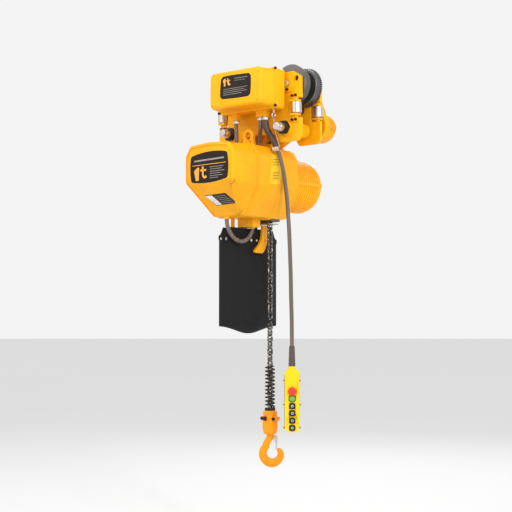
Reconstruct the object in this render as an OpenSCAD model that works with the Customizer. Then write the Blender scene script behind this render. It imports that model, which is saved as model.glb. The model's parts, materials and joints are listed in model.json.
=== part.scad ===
// Electric chain hoist on a motor-driven beam trolley.
// X runs along the beam, Y across it (the label side is -Y), Z is up.
// The origin is the middle of the runway: the top face of the beam's lower flange.

/* [Runway beam] */
// Width of the beam's lower flange
flange_w = 90; // [80:1:120]
// Thickness of the beam's lower flange
flange_t = 9; // [6:0.5:16]

/* [Trolley] */
// Length of each side plate
plate_l = 400; // [380:2:480]
// Thickness of each side plate
plate_t = 12; // [8:1:16]
// Height of the side plates above the runway
plate_rise = 115; // [112:1:150]
// Depth of the side plates below the runway
plate_drop = 145; // [140:1:180]
// Tread diameter of the travel wheels
wheel_d = 140; // [132:1:150]
// Distance between the two wheel axles of one side
wheel_base = 280; // [272:1:330]
// Diameter of the two cross shafts
shaft_d = 34; // [26:1:38]
// Length of the two cross shafts
shaft_l = 215; // [205:1:250]
// Diameter of the guide rollers
roller_d = 40; // [30:1:44]

/* [Hoist body] */
// Depth of the lifting axis below the runway
axis_drop = 280; // [276:1:320]
// Width of the hoist body
body_w = 250; // [240:1:290]
// Wall of the cast body
wall = 7; // [5:0.5:9]
// Length of the label cover in front of the gear case
cover_l = 126; // [90:1:150]
// Length of the gear case
case_l = 152; // [150:1:180]
// Outer diameter of the lifting motor
motor_d = 208; // [204:1:224]
// Length of the lifting motor behind its flange
motor_l = 200; // [190:1:220]

/* [Load chain] */
// Inside length of one chain link
pitch = 24; // [24:0.5:25]
// Links that run in when the hook is raised (an even number)
lift_links = 22; // [16:2:24]
// Links between the raised part and the hook block
tail_links = 15; // [13:2:21]

/* [Control box] */
// Width of the control box
box_w = 268; // [240:1:280]
// Height of the control box
box_h = 150; // [130:1:160]
// Depth of the control box cover
cover_d = 71; // [50:1:80]
// Depth of the control box base
base_d = 51; // [45:1:60]

/* [Chain bag] */
// Width of the flat chain bag across the beam
bag_l = 335; // [320:1:345]
// Thickness of the chain bag
bag_w = 50; // [48:1:52]
// Depth of the chain bag
bag_h = 398; // [380:1:460]

/* [Hook] */
// Inside diameter of the hook's bowl
bowl_d = 40; // [38:1:44]

/* [Pendant] */
// Width of the pendant
pendant_w = 54; // [50:1:62]
// Length of the pendant's case
pendant_l = 228; // [224:1:250]
// Depth of the pendant
pendant_d = 44; // [40:1:56]
// Diameter of the pendant cable
cable_d = 15; // [12:1:16]

/* [Hidden] */
$fn = 48;

// Clearances
run_gap = 0.08;      // round parts that turn in each other
side_gap = 8;        // beam flange edge to side plate
slip = 0.5;          // parts that pass each other

// Trolley
plate_y = flange_w / 2 + side_gap;          // inner face of a side plate
plate_out = plate_y + plate_t;              // outer face of a side plate
wheel_x = wheel_base / 2;
wheel_r = wheel_d / 2;
rim_y = flange_w / 2 + 1.3;                 // inner face of the wheel's rim
rim_out = plate_y - 1.5;
tread_y = 16;                               // inner face of the wheel
rim_r = wheel_r + 5;
axle_r = 12.4;
axle_tip = plate_out + 16;
boss_t = 8;                                 // raised boss on a plate
shaft_x = 132;
shaft_z = -94;
shaft_r = shaft_d / 2;
shaft_back = plate_out + 22;                 // rear end of a cross shaft
roller_r = roller_d / 2;
roller_x = plate_l / 2 - 20;
roller_y = flange_w / 2 + 1 + roller_r;
roller_top = -2;
roller_bottom = -44;
notch_x = roller_x - roller_r - 4;
notch_gap = 16;                              // room above and below a roller for its nuts
roller_pin_r = 6;
eye_hole_r = 10.5;                          // plain hole near the plate's top corner
eye_x = plate_l / 2 - 21;
eye_z = plate_rise - 28;

// Trolley drive: wheel rim gear, pinion, and the motor's gear pair
rim_m = 2.5;
rim_teeth = round(2 * wheel_r / rim_m) + 2;
drive_teeth = 12;
drive_c = rim_m * (rim_teeth + drive_teeth) / 2;
drive_x = wheel_x - 30;
drive_z = wheel_r - sqrt(pow(drive_c, 2) - pow(wheel_x - drive_x, 2));
second_m = 1.5;
second_gear = 75;
second_pinion = 14;
second_c = second_m * (second_gear + second_pinion) / 2;
second_angle = -63;
travel_x = drive_x + second_c * cos(second_angle);
travel_z = drive_z + second_c * sin(second_angle);
gearbox_y = plate_out + 23;
gearbox_l = 24;
gearbox_wall = 4;
travel_r = 58;                               // travel motor's shell
travel_l = 79;
drive_shaft_r = 10;
rotor_shaft_r = 8;

// Hoist body
lift_turns = 5;                              // pockets of the sheave
link_turn = 180 / lift_turns;
chord_r = pitch / 2 / tan(link_turn / 2);    // axis to the middle of a link
axis_x = -chord_r;
axis_z = -axis_drop;
slack_x = -2 * chord_r;
frame_y = 38;                                // half length of the middle frame
bearing_t = 16;
case_front = -frame_y - case_l;
cover_front = case_front - cover_l;
body_half = body_w / 2;
body_top = 125;
body_bottom = -145;
body_foot = 65;
body_x = axis_x + 8;                         // middle of the body
BODY = [[-body_foot, body_bottom], [body_foot, body_bottom], [body_half, -33], [body_half, 80],
        [body_half - 25, 118], [0, body_top], [25 - body_half, 118], [-body_half, 80],
        [-body_half, -33]];
FACE = [[8 - body_half, -30], [body_half - 8, -30], [body_half - 8, 75],
        [body_half - 30, 111], [0, 118], [30 - body_half, 111], [8 - body_half, 75]];
body_round = 16;
seat_z = axis_z + body_top + 2;              // top of the pad under the yoke
body_floor = axis_z + body_bottom;

// Lifting gear train
bearing_out = 37.5;
journal_r = 22.5;
hollow_r = 12.5;
gear_seat_r = 20;
motor_shaft_r = 9;
tip_shaft_r = 6;
web_y = -118;                                // bearing web in the gear case
web_t = 14;
first_m = 1.25;
motor_teeth = 12;
idler_teeth = 76;
last_m = 2;
idler_pinion = 10;
load_teeth = 45;
gear_c = first_m * (motor_teeth + idler_teeth) / 2;
idler_z = axis_z + gear_c;
idler_r = 7.5;
idler_bush_r = 12;
first_y = -100;
first_t = 12;
load_y = -62;
load_t = 16;
pressure = 25;

// Sheave and chain
wire_r = 3.85;
link_r = 8.8;                                // centre line of a link's round ends
link_half = pitch / 2 + 4;
link_side = link_r + wire_r;
sheave_r = 45;
sheave_t = 40;
chain_hole = 29;
guide_top = axis_z - 40;
guide_plate = 8;
guide_bottom = body_floor - guide_plate;
lever_x = -30;                                // pin of the limit lever
lever_z = guide_bottom - 9;
eye_lug_x = -20;                             // lug with the lifting eye
eye_lug_z = -114;

// Motor
motor_y = frame_y + 18;
motor_r = motor_d / 2;
motor_end = motor_y + motor_l;
motor_wall = 10;
fin_pitch = 14;
stator_y = 72;
stator_t = 66;
rotor_r = 55;
air_gap = 1;
brake_y = 166;
brake_t = 8;

// Control box
box_x = 4;
box_top = 123;
box_bottom = box_top - box_h;
base_back = -axle_tip - 1;
base_front = base_back - base_d;
lid_t = 6;                                   // thickness of the cover's rim
lid_front = base_front - lid_t - cover_d;
gland_y = base_back - base_d / 2;
GLANDS = [-77, 42, 66];                      // where the cables leave the box, along X
gland_drop = 24;
nut_h = 12;
gland_end = box_bottom - gland_drop - nut_h;

// Hook block and hook
hang_links = lift_links + tail_links;
last_link_z = axis_z - pitch * hang_links;
chain_pin_r = 4.5;
chain_pin_z = last_link_z - pitch / 2 + chain_pin_r + 0.2;
block_top = last_link_z + 21;
block_h = 89;
block_bottom = block_top - block_h;
block_r = 29;
shank_r = 10;
head_r = 17;
head_h = 12;
head_z = block_bottom + 17;
spring_wire = 3;
spring_r = 17;
spring_turns = 11;
spring_pitch = 14;
collar_h = 10;
collar_r = 20;
spring_z = block_top + collar_h + spring_wire;
hook_turn = 40;
bowl_r = bowl_d / 2;
bowl_x = 8;
bowl_z = block_bottom - 50 - bowl_r;
latch_x = 20;
latch_z = block_bottom - 11;
latch_l = 48;
latch_lean = -5;                             // closed against the inside of the point

// Bag
bag_x = slack_x;
bag_y = -40;
bag_top = axis_z - 179;
bag_wall = 3;
bag_bottom = bag_top - bag_h;
rivet_z = bag_top - 44;
strap_t = 5;
STRAPS = [-130.5, 46.5];                     // inner straps, along Y
finger_x = bag_x + bag_w / 2 + 1;            // inner face of the curved outer arm
finger_t = 11;
finger_y = 15;
stored_layers = 3;
stored_z = bag_bottom + 35;                  // middle of the lowest layer of stored chain

// Pendant
pendant_x = 137;
pendant_y = -40;
pendant_top = -988;
pendant_turn = 40;
pendant_wall = 4;
stop_z = -78;
start_z = -105;
key_pitch = 26.6;
key_r = 9.5;
key_travel = 4;

// Cable routes
PENDANT_ROUTE = [[66, -107.5, -55], [66, -107.5, -68], [66.5, -107.5, -80], [69, -106, -93],
                 [75, -102, -107], [83, -97, -123], [92, -91, -143], [101, -85, -165],
                 [109, -79, -191], [116, -74, -222], [122, -69, -260], [126, -64, -304],
                 [130, -59, -355], [132, -55, -415], [134, -51, -485], [135, -48, -560],
                 [136, -45, -640], [136, -43, -720], [137, -41, -800], [137, -40, -870],
                 [137, -40, -930], [137, -40, -985]];
BOX_LEAD = [[-77, -107.5, -55], [-77, -107.5, -72], [-76, -108, -90], [-75, -109, -108],
            [-75, -109, -122], [-77, -108, -136], [-77, -108, -150]];
BRAKE_LEAD = [[42, -107.5, -55], [42, -107.5, -68], [40, -104, -82], [34, -97, -95], [24, -88, -107],
              [12, -79, -121], [6, -75, -136], [6, -75, -150]];
LIMIT_LEAD = [[-38, -205, -433], [-38, -205, -443], [-38, -202, -457], [-38, -195, -471],
              [-38, -184, -485], [-38, -169, -498], [-38, -150, -508], [-38, -128, -512],
              [-38, -107, -509], [-38, -88, -500], [-38, -73, -487], [-38, -64, -475],
              [-38, -60, -468], [-38, -60, -461]];

// ---------- helpers ----------

function unit(v) = v / norm(v);
function last(list) = list[len(list) - 1];

// Arc of radius r that rounds the corner b between a and c
function corner_arc(a, b, c, r, n) =
    let (u = unit(a - b), v = unit(c - b), half = acos(u * v) / 2, reach = r / tan(half),
         centre = b + unit(u + v) * r / sin(half), p = b + u * reach - centre,
         q = b + v * reach - centre, start = atan2(p[1], p[0]),
         raw = atan2(q[1], q[0]) - start,
         turn = raw > 180 ? raw - 360 : raw < -180 ? raw + 360 : raw)
    [for (i = [0:n]) centre + r * [cos(start + turn * i / n), sin(start + turn * i / n)]];

// The outline with every corner rounded
function rounded(pts, r, n = 5) =
    let (m = len(pts))
    [for (i = [0:m - 1], p = corner_arc(pts[(i + m - 1) % m], pts[i], pts[(i + 1) % m], r, n)) p];

// The convex outline moved inwards by t
function inset(pts, t) =
    let (m = len(pts))
    [for (i = [0:m - 1])
        let (b = pts[i], u = unit(pts[(i + m - 1) % m] - b), v = unit(pts[(i + 1) % m] - b))
        b + unit(u + v) * t / sin(acos(u * v) / 2)];

function box_points(x0, x1, z0, z1) = [[x0, z0], [x1, z0], [x1, z1], [x0, z1]];

// Polar angle that an involute from the base circle rb has gained at radius r
function roll_off(rb, r) =
    let (roll = sqrt(max(0, pow(r / rb, 2) - 1)))
    roll * 180 / PI - atan(roll);

// Point at radius r on a tooth's flank; side is -1 or 1, and half is the half tooth at the base
function flank(rb, r, centre, half, side, at) =
    let (a = centre + side * (half - roll_off(rb, at)))
    r * [cos(a), sin(a)];

// Gear outline with its first tooth on +X; backlash thins each tooth
function gear_points(m, teeth, backlash) =
    let (r = m * teeth / 2, rb = r * cos(pressure), tip = r + 0.9 * m, root = r - 1.12 * m,
         inv = tan(pressure) * 180 / PI - pressure,
         half = 90 / teeth - backlash / r * 90 / PI + inv, low = max(rb, root + 0.05 * m),
         steps = 5, radii = [for (i = [0:steps]) low + (tip - low) * i / steps])
    [for (k = [0:teeth - 1])
        let (c = 360 * k / teeth)
        each concat([flank(rb, root, c, half, -1, low)],
                    [for (i = [0:steps]) flank(rb, radii[i], c, half, -1, radii[i])],
                    [for (i = [steps:-1:0]) flank(rb, radii[i], c, half, 1, radii[i])],
                    [flank(rb, root, c, half, 1, low)])];

// Extrude an X-Z outline from y0 to y1
module y_slab(y0, y1) {
    translate([0, y1, 0]) rotate([90, 0, 0]) linear_extrude(y1 - y0) children();
}
module y_rod(x, z, y0, y1, r) {
    translate([x, y1, z]) rotate([90, 0, 0]) cylinder(h = y1 - y0, r = r);
}
module z_rod(x, y, z0, z1, r) {
    translate([x, y, z0]) cylinder(h = z1 - z0, r = r);
}
module block(x0, x1, y0, y1, z0, z1) {
    translate([x0, y0, z0]) cube([x1 - x0, y1 - y0, z1 - z0]);
}
module hex_y(x, z, y0, y1, r) {
    translate([x, y1, z]) rotate([90, 0, 0]) cylinder(h = y1 - y0, r = r, $fn = 6);
}
// A profile of [radius, y] pairs turned round the Y line through x, z
module lathe_y(x, z, profile) {
    translate([x, 0, z]) rotate([-90, 0, 0]) rotate_extrude() polygon(profile);
}
module gear_y(x, z, y0, y1, m, teeth, backlash, phase) {
    translate([x, 0, z]) rotate([0, -phase, 0]) y_slab(y0, y1)
        polygon(gear_points(m, teeth, backlash));
}
module both_y() {
    children();
    mirror([0, 1, 0]) children();
}

// Tube swept along path; radii holds one radius per point, flat squeezes it across ref
module sweep(path, radii, ref, sides = 8, flat = 1) {
    n = len(path);
    rings = [for (i = [0:n - 1])
        let (t = unit(path[min(i + 1, n - 1)] - path[max(i - 1, 0)]), u = unit(cross(t, ref)),
             v = cross(u, t))
        for (k = [0:sides - 1])
            path[i] + radii[i] * (cos(360 * k / sides) * u + sin(360 * k / sides) * v * flat)];
    walls = [for (i = [0:n - 2], k = [0:sides - 1])
        [i * sides + k, i * sides + (k + 1) % sides, (i + 1) * sides + (k + 1) % sides,
         (i + 1) * sides + k]];
    start = [[for (k = [sides - 1:-1:0]) k]];
    end = [[for (k = [0:sides - 1]) (n - 1) * sides + k]];
    polyhedron(points = rings, faces = concat(start, walls, end), convexity = 6);
}
module cable(path, d, ref, sides = 10) {
    sweep(path, [for (p = path) d / 2], ref, sides);
}

// One chain link, standing along Z in the X-Z plane
module link() {
    straight = link_half - link_r;
    for (s = [-1, 1]) {
        translate([s * link_r, 0, -straight]) cylinder(h = 2 * straight, r = wire_r, $fn = 24);
        translate([0, 0, s * straight]) rotate([90, 0, s < 0 ? 180 : 0])
            rotate_extrude(angle = 180, $fn = 24) translate([link_r, 0]) circle(wire_r, $fn = 24);
    }
}
// Links a to b, counted down from the sheave, on the vertical line at x; parity picks which stand
module hanging_links(x, a, b, parity) {
    for (n = [a:b])
        translate([x, 0, axis_z - pitch * n]) rotate([0, 0, (n + parity) % 2 == 0 ? 90 : 0]) link();
}

// ---------- trolley ----------

function plate_outline() =
    let (h = plate_l / 2)
    [[-h + 14, -plate_drop], [-h + 100, -plate_drop], [-h + 122, -plate_drop + 34],
     [h - 122, -plate_drop + 34], [h - 100, -plate_drop], [h - 14, -plate_drop],
     [h, -plate_drop + 14], [h, roller_bottom - notch_gap], [notch_x, roller_bottom - notch_gap],
     [notch_x, roller_top + notch_gap], [h, roller_top + notch_gap], [h, plate_rise - 22],
     [h - 34, plate_rise], [-h + 34, plate_rise], [-h, plate_rise - 22], [-h, roller_top + notch_gap],
     [-notch_x, roller_top + notch_gap], [-notch_x, roller_bottom - notch_gap], [-h, roller_bottom - notch_gap],
     [-h, -plate_drop + 14]];

module boss_outline(x) {
    polygon([for (p = [[-30, -8], [-14, -30], [16, -30], [30, -12], [30, 14], [14, 30], [-16, 30],
                       [-30, 16]]) [x + p[0], wheel_r + p[1]]]);
}

// Side plate on the +Y side; the front one is its mirror image
module side_plate(drive_hole) {
    difference() {
        union() {
            y_slab(plate_y, plate_out) polygon(plate_outline());
            for (s = [-1, 1]) {
                y_slab(plate_out, plate_out + boss_t) boss_outline(s * wheel_x);
                y_rod(s * shaft_x, shaft_z, plate_out, plate_out + 11, 29);
            }
        }
        for (s = [-1, 1]) {
            y_rod(s * wheel_x, wheel_r, plate_y - 1, axle_tip, axle_r);
            y_rod(s * shaft_x, shaft_z, plate_y - 1, plate_out + 12, shaft_r + run_gap);
            y_rod(s * eye_x, eye_z, plate_y - 1, plate_out + 1, eye_hole_r);
        }
        if (drive_hole) y_rod(drive_x, drive_z, plate_y - 1, plate_out + 1, drive_shaft_r + 5);
    }
}
module front_side_plate() {
    color("goldenrod") mirror([0, 1, 0]) side_plate(false);
}
module rear_side_plate() {
    color("goldenrod") side_plate(true);
}

module cross_shafts() {
    y1 = shaft_back;
    y0 = y1 - shaft_l;
    color("silver") for (s = [-1, 1])
        lathe_y(s * shaft_x, shaft_z, [[0, y0], [shaft_r - 4, y0], [shaft_r - 2, y0 + 2],
            [shaft_r - 2, y0 + 12], [shaft_r, y0 + 14], [shaft_r, y1 - 2], [shaft_r - 2, y1],
            [0, y1]]);
}

module wheel_axles() {
    color("silver") both_y() for (s = [-1, 1])
        lathe_y(s * wheel_x, wheel_r, [[0, tread_y - 3.5], [axle_r + 4, tread_y - 3.5],
            [axle_r + 4, tread_y - slip], [axle_r, tread_y - slip], [axle_r, axle_tip - 1.5],
            [axle_r - 1.5, axle_tip], [0, axle_tip]]);
}

// Travel wheel on the +Y side; a driven wheel has teeth on its rim
module wheel(x, driven) {
    bore = axle_r + run_gap;
    lathe_y(x, wheel_r, [[bore, tread_y], [bore + 12, tread_y], [bore + 16, tread_y + 5],
        [wheel_r - 14, tread_y + 5], [wheel_r - 10, tread_y], [wheel_r - 2, tread_y],
        [wheel_r, tread_y + 2], [wheel_r, rim_y], [driven ? wheel_r - 3 : rim_r, rim_y],
        [driven ? wheel_r - 3 : rim_r, rim_out], [bore, rim_out]]);
    if (driven) difference() {
        gear_y(x, wheel_r, rim_y, rim_out, rim_m, rim_teeth, 0.5, wheel_phase());
        y_rod(x, wheel_r, rim_y - 1, rim_out + 1, wheel_r - 10);
    }
}
module front_wheel(x) {
    color("dimgray") mirror([0, 1, 0]) wheel(x, false);
}
// Angle of the line from the driven wheel to its pinion, and the wheel turned to put a gap there
function drive_line() = atan2(drive_z - wheel_r, drive_x - wheel_x);
function wheel_phase() = drive_line() + 180 / rim_teeth;

module trolley_drive_shaft() {
    y0 = gearbox_y + gearbox_wall + 2;
    color("slategray") {
        gear_y(drive_x, drive_z, rim_y, rim_out + 1, rim_m, drive_teeth, 0.5, drive_line() + 180);
        y_rod(drive_x, drive_z, rim_out, y0 + 13, drive_shaft_r);
        gear_y(drive_x, drive_z, y0, y0 + 12, second_m, second_gear, 0.3,
               second_angle + 180 / second_gear);
    }
}

// Outline round the travel gear pair, pulled in by t
module gearbox_outline(t) {
    hull() {
        translate([drive_x, drive_z]) circle(66 - t);
        translate([travel_x, travel_z]) circle(60 - t);
    }
}
module trolley_gearbox() {
    inner = gearbox_y + gearbox_wall;
    outer = gearbox_y + gearbox_l;
    color("gold") difference() {
        union() {
            y_slab(gearbox_y, outer) gearbox_outline(0);
            y_slab(outer - 9, outer - 4) gearbox_outline(-3);
            // neck round the drive shaft and two stand-offs to the side plate
            y_rod(drive_x, drive_z, plate_out, gearbox_y + 1, 22);
            y_rod(drive_x - 44, drive_z - 18, plate_out, gearbox_y + 1, 8);
            y_rod(drive_x - 10, drive_z + 54, plate_out, gearbox_y + 1, 8);
        }
        y_slab(inner, outer - gearbox_wall) gearbox_outline(gearbox_wall);
        y_rod(drive_x, drive_z, plate_out - 1, inner + 1, drive_shaft_r + run_gap);
        y_rod(travel_x, travel_z, outer - gearbox_wall - 1, outer + 1, 30);
    }
}

module trolley_motor_shell() {
    y0 = gearbox_y + gearbox_l;
    r = travel_r;
    louvres = 7;
    color("darkorange") difference() {
        lathe_y(travel_x, travel_z, concat([[rotor_shaft_r + run_gap, y0], [r, y0], [r, y0 + 27]],
            [for (a = [8:8:82]) [8 + (r - 8) * cos(a), y0 + 27 + (travel_l - 27) * sin(a)]],
            [[0, y0 + travel_l], [0, y0 + travel_l - 5]],
            [for (a = [80:-10:0]) [4 + (r - 9) * cos(a), y0 + 25 + (travel_l - 31) * sin(a)]],
            [[r - 5, y0 + 5], [rotor_shaft_r + run_gap, y0 + 5]]));
        for (k = [0:louvres - 1])
            translate([travel_x, y0 + 12 + 7.5 * k, travel_z]) rotate([0, -8, 0])
                translate([r - 12, 0, -24]) cube([20, 2.5, 48]);
    }
}

module trolley_motor_rotor() {
    y0 = gearbox_y + gearbox_wall + 2;
    y1 = gearbox_y + gearbox_l;
    color("gray") {
        gear_y(travel_x, travel_z, y0, y0 + 12, second_m, second_pinion, 0.3,
               second_angle + 180);
        y_rod(travel_x, travel_z, y0 + 11, y1 + 55, rotor_shaft_r);
        y_rod(travel_x, travel_z, y1 + 12, y1 + 44, 32);
    }
}

// Ears, foot and pin of one guide roller, on the +X +Y corner
module roller_bracket() {
    ear = 7;
    for (up = [0, 1]) {
        z0 = up == 1 ? roller_top + 1.5 : roller_bottom - 1.5 - ear;
        block(notch_x + 6, roller_x + 12, plate_y, roller_y + 16, z0, z0 + ear);
        foot = up == 1 ? z0 + ear : z0 - 24;
        block(notch_x + 6, roller_x + 8, plate_out, plate_out + 6, foot, foot + 24);
    }
    z_rod(roller_x, roller_y, roller_bottom - 12, roller_top + 12, roller_pin_r);
    for (z = [roller_top + 8.5, roller_bottom - 14.5])
        translate([roller_x, roller_y, z]) cylinder(h = 6, r = 9, $fn = 6);
}
module guide_roller_brackets() {
    color("gold") both_y() for (s = [0, 1]) mirror([s, 0, 0]) roller_bracket();
}
module guide_roller(sx, sy) {
    color("silver") translate([sx * roller_x, sy * roller_y, 0]) rotate_extrude()
        polygon([[roller_pin_r + run_gap, roller_bottom], [roller_r - 2, roller_bottom],
            [roller_r, roller_bottom + 2], [roller_r, roller_top - 2], [roller_r - 2, roller_top],
            [roller_pin_r + run_gap, roller_top]]);
}

// Casting that hangs from the cross shafts and carries the hoist
module suspension_yoke() {
    half = 14;
    foot = 74;
    color("orange") difference() {
        union() {
            for (s = [-1, 1]) y_rod(s * shaft_x, shaft_z, -46, 46, 27);
            y_slab(-half, half) polygon([[-shaft_x, shaft_z - 20], [axis_x - foot, seat_z],
                [axis_x + foot + 20, seat_z], [shaft_x, shaft_z - 20], [shaft_x, shaft_z + 20],
                [shaft_x - 60, shaft_z + 34], [60 - shaft_x, shaft_z + 34],
                [-shaft_x, shaft_z + 20]]);
            block(axis_x - foot, axis_x + foot, -34, 34, seat_z, seat_z + 13);
            for (s = [-1, 1])
                y_slab(-34, 34) polygon([[axis_x + s * 30, seat_z + 12],
                    [axis_x + s * 42, seat_z + 12], [axis_x + s * 36, shaft_z + 20],
                    [axis_x + s * 30, shaft_z + 20]]);
        }
        for (s = [-1, 1]) y_rod(s * shaft_x, shaft_z, -47, 47, shaft_r + run_gap);
    }
}

// ---------- control box ----------

module control_box_base() {
    hw = box_w / 2;
    outline = rounded(box_points(box_x - hw, box_x + hw, box_bottom, box_top), 12);
    color("orange") difference() {
        union() {
            y_slab(base_front, base_back) polygon(outline);
            for (x = GLANDS)
                block(x - 12, x + 12, gland_y - 13, gland_y + 13, box_bottom - gland_drop,
                      box_bottom + 2);
            // stand-offs to the side plate
            for (x = [-70, 60], z = [30, 92]) y_rod(x, z, base_back - 1, -plate_out, 9);
        }
        y_slab(base_front - 1, base_back - 4) polygon(inset(box_points(box_x - hw, box_x + hw,
            box_bottom, box_top), 4));
        for (x = GLANDS) z_rod(x, gland_y, box_bottom - gland_drop - 1, box_bottom + 5, cable_d / 2 + 0.1);
    }
}

module control_box_cover() {
    hw = box_w / 2;
    rim = rounded(box_points(box_x - hw - 9, box_x + hw + 9, box_bottom - 1, box_top + 1), 10);
    color("gold") difference() {
        union() {
            y_slab(base_front - lid_t, base_front) polygon(rim);
            hull() lid_shape(0);
        }
        hull() lid_shape(4);
        y_slab(base_front - lid_t - 1, base_front + 1) polygon(rounded(box_points(box_x - hw + 6,
            box_x + hw - 6, box_bottom + 6, box_top - 6), 8));
    }
}
module lid_shape(t) {
    hw = box_w / 2;
    y1 = base_front - lid_t;
    y_slab(y1 - 1, t > 0 ? y1 + 1 : y1) polygon(rounded(box_points(box_x - hw + t, box_x + hw - t,
        box_bottom + 4 + t, box_top - 3 - t), 18));
    y_slab(lid_front + 7 + t, lid_front + 8 + t) polygon(rounded(box_points(box_x - hw + 7 + t,
        box_x + hw - 10 - t, box_bottom + 8 + t, box_top - 5 - t), 20));
    y_slab(lid_front + t, lid_front + 1 + t) polygon(rounded(box_points(box_x - hw + 15 + t,
        box_x + hw - 18 - t, box_bottom + 16 + t, box_top - 12 - t), 18));
}

// Contactors, transformer and terminal rail on the box's back wall
module contactors() {
    back = base_back - 4;
    color("dimgray") {
        for (i = [0:3]) {
            x = box_x - 104 + 48 * i;
            difference() {
                block(x, x + 42, back - 70, back, 30, 96);
                block(x + 6, x + 36, back - 71, back - 60, 44, 82);
            }
        }
        block(box_x + 88, box_x + 124, back - 60, back, 30, 84);
        block(box_x - 100, box_x + 60, back - 30, back, box_bottom + 10, box_bottom + 26);
    }
}

module cable_glands() {
    z0 = box_bottom - gland_drop;
    color("silver") for (x = GLANDS) difference() {
        union() {
            translate([x, gland_y, z0 - nut_h]) cylinder(h = nut_h - 3, r = 12, $fn = 6);
            z_rod(x, gland_y, z0 - 3, z0, 11);
        }
        z_rod(x, gland_y, z0 - nut_h - 1, z0 + 1, cable_d / 2 + 0.1);
    }
}

// Eye bolt under the box and the steel wire that carries the pendant cable's weight
module strain_wire() {
    x = 106;
    eye_z = box_bottom - 22;
    color("silver") {
        z_rod(x, gland_y, eye_z + 8, box_bottom, 3.5);
        translate([x, gland_y, eye_z]) rotate([90, 0, 90]) rotate_extrude()
            translate([9, 0]) circle(3, $fn = 20);
        cable([[x, gland_y, eye_z - 4], [x + 1, gland_y + 3, -90], [x + 4, gland_y + 9, -120],
               [x + 8, gland_y + 16, -146], [116, -84, -168]], 3.4, [1, 0.3, 0], 8);
    }
}

// ---------- hoist body ----------

module body_outline(t) {
    polygon([for (p = rounded(inset(BODY, t), max(2, body_round - t))) p + [body_x, axis_z]]);
}
module face_outline(t) {
    polygon([for (p = rounded(inset(FACE, t), 14)) p + [body_x, axis_z]]);
}
module cover_shape(t) {
    y_slab(case_front - 24, t > 0 ? case_front + 1 : case_front) body_outline(t);
    y_slab(cover_front + 5 + t, cover_front + 6 + t) face_outline(t);
    y_slab(cover_front + t, cover_front + 1 + t) face_outline(6 + t);
}
module front_cover() {
    color("orange") difference() {
        union() {
            hull() cover_shape(0);
            z_rod(LIMIT_LEAD[0][0], LIMIT_LEAD[0][1], LIMIT_LEAD[0][2], body_floor + 3, 11);
        }
        hull() cover_shape(5);
    }
}

module gear_case() {
    color("orange") difference() {
        union() {
            y_slab(case_front, -frame_y) body_outline(0);
            y_slab(case_front, case_front + 8) body_outline(-3);
            y_slab(-frame_y - 9, -frame_y) body_outline(-4);
            // lifting eye and cable entries on the roof
            translate([eye_lug_x, 0, 0]) y_slab(-108, -92) lug_outline();
            for (p = [BOX_LEAD, BRAKE_LEAD]) z_rod(last(p)[0], last(p)[1], seat_z - 20, last(p)[2], 12);
                }
        y_rod(eye_lug_x, eye_lug_z, -109, -91, 13);
        y_slab(case_front - 1, web_y) body_outline(wall);
        y_slab(web_y + web_t, -frame_y + 1) body_outline(wall);
        y_rod(axis_x, axis_z, web_y - 1, web_y + web_t + 1, 14);
        y_rod(axis_x, idler_z, web_y - 1, web_y + web_t + 1, idler_bush_r);
    }
}
module lug_outline() {
    translate([0, eye_lug_z]) circle(26);
    polygon([[-24, eye_lug_z - 10], [24, eye_lug_z - 10], [32, seat_z - 8], [-32, seat_z - 8]]);
}

module body_frame() {
    half = sheave_t / 2 + 2;
    color("orange") difference() {
        union() {
            y_slab(-frame_y, frame_y) body_outline(0);
            block(axis_x - 80, axis_x + 80, -frame_y, frame_y, seat_z - 20, seat_z);
        }
        y_slab(-half, half) body_outline(wall + 1);
        y_rod(axis_x, axis_z, -frame_y - 1, frame_y + 1, bearing_out);
        y_rod(axis_x, idler_z, -frame_y - 1, -frame_y + web_t - 2, idler_bush_r);
        block(guide_x0(), guide_x1(), 1 - half, half - 1, body_floor - 1, body_floor + 40);
    }
}

// ---------- lifting gear train ----------

module load_sheave() {
    groove = 0.8;
    pocket_drop = 4.2;
    half = sheave_t / 2;
    color("gray") difference() {
        union() {
            lathe_y(axis_x, axis_z, [[hollow_r, load_y - 2], [gear_seat_r, load_y - 2],
                [gear_seat_r, -frame_y - 1], [journal_r, -frame_y - 1], [journal_r, -half - 2],
                [28, -half - 2], [28, -half], [sheave_r, -half], [sheave_r, half], [28, half],
                [28, half + 2], [journal_r, half + 2], [journal_r, frame_y - 1],
                [hollow_r, frame_y - 1]]);
        }
        // groove for the standing links
        lathe_y(axis_x, axis_z, [[chord_r - link_side - groove, -wire_r - groove],
            [sheave_r + 1, -wire_r - groove], [sheave_r + 1, wire_r + groove],
            [chord_r - link_side - groove, wire_r + groove]]);
        // pockets for the flat links, deep enough for the slack ones to leave straight down
        for (k = [0:lift_turns - 1])
            translate([axis_x, 0, axis_z]) rotate([0, -(2 * k) * link_turn, 0])
                translate([chord_r - wire_r - pocket_drop, -link_side - groove,
                           -link_half - wire_r - groove])
                    cube([24, 2 * (link_side + groove), 2 * (link_half + wire_r + groove)]);
    }
}

module load_gear() {
    color("slategray") difference() {
        gear_y(axis_x, axis_z, load_y, load_y + load_t, last_m, load_teeth, 0.35, 90);
        y_rod(axis_x, axis_z, load_y - 1, load_y + load_t + 1, gear_seat_r);
        for (k = [0:4])
            translate([axis_x, 0, axis_z]) rotate([0, 72 * k, 0]) y_rod(31, 0, load_y - 1,
                load_y + load_t + 1, 6);
    }
}

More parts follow.
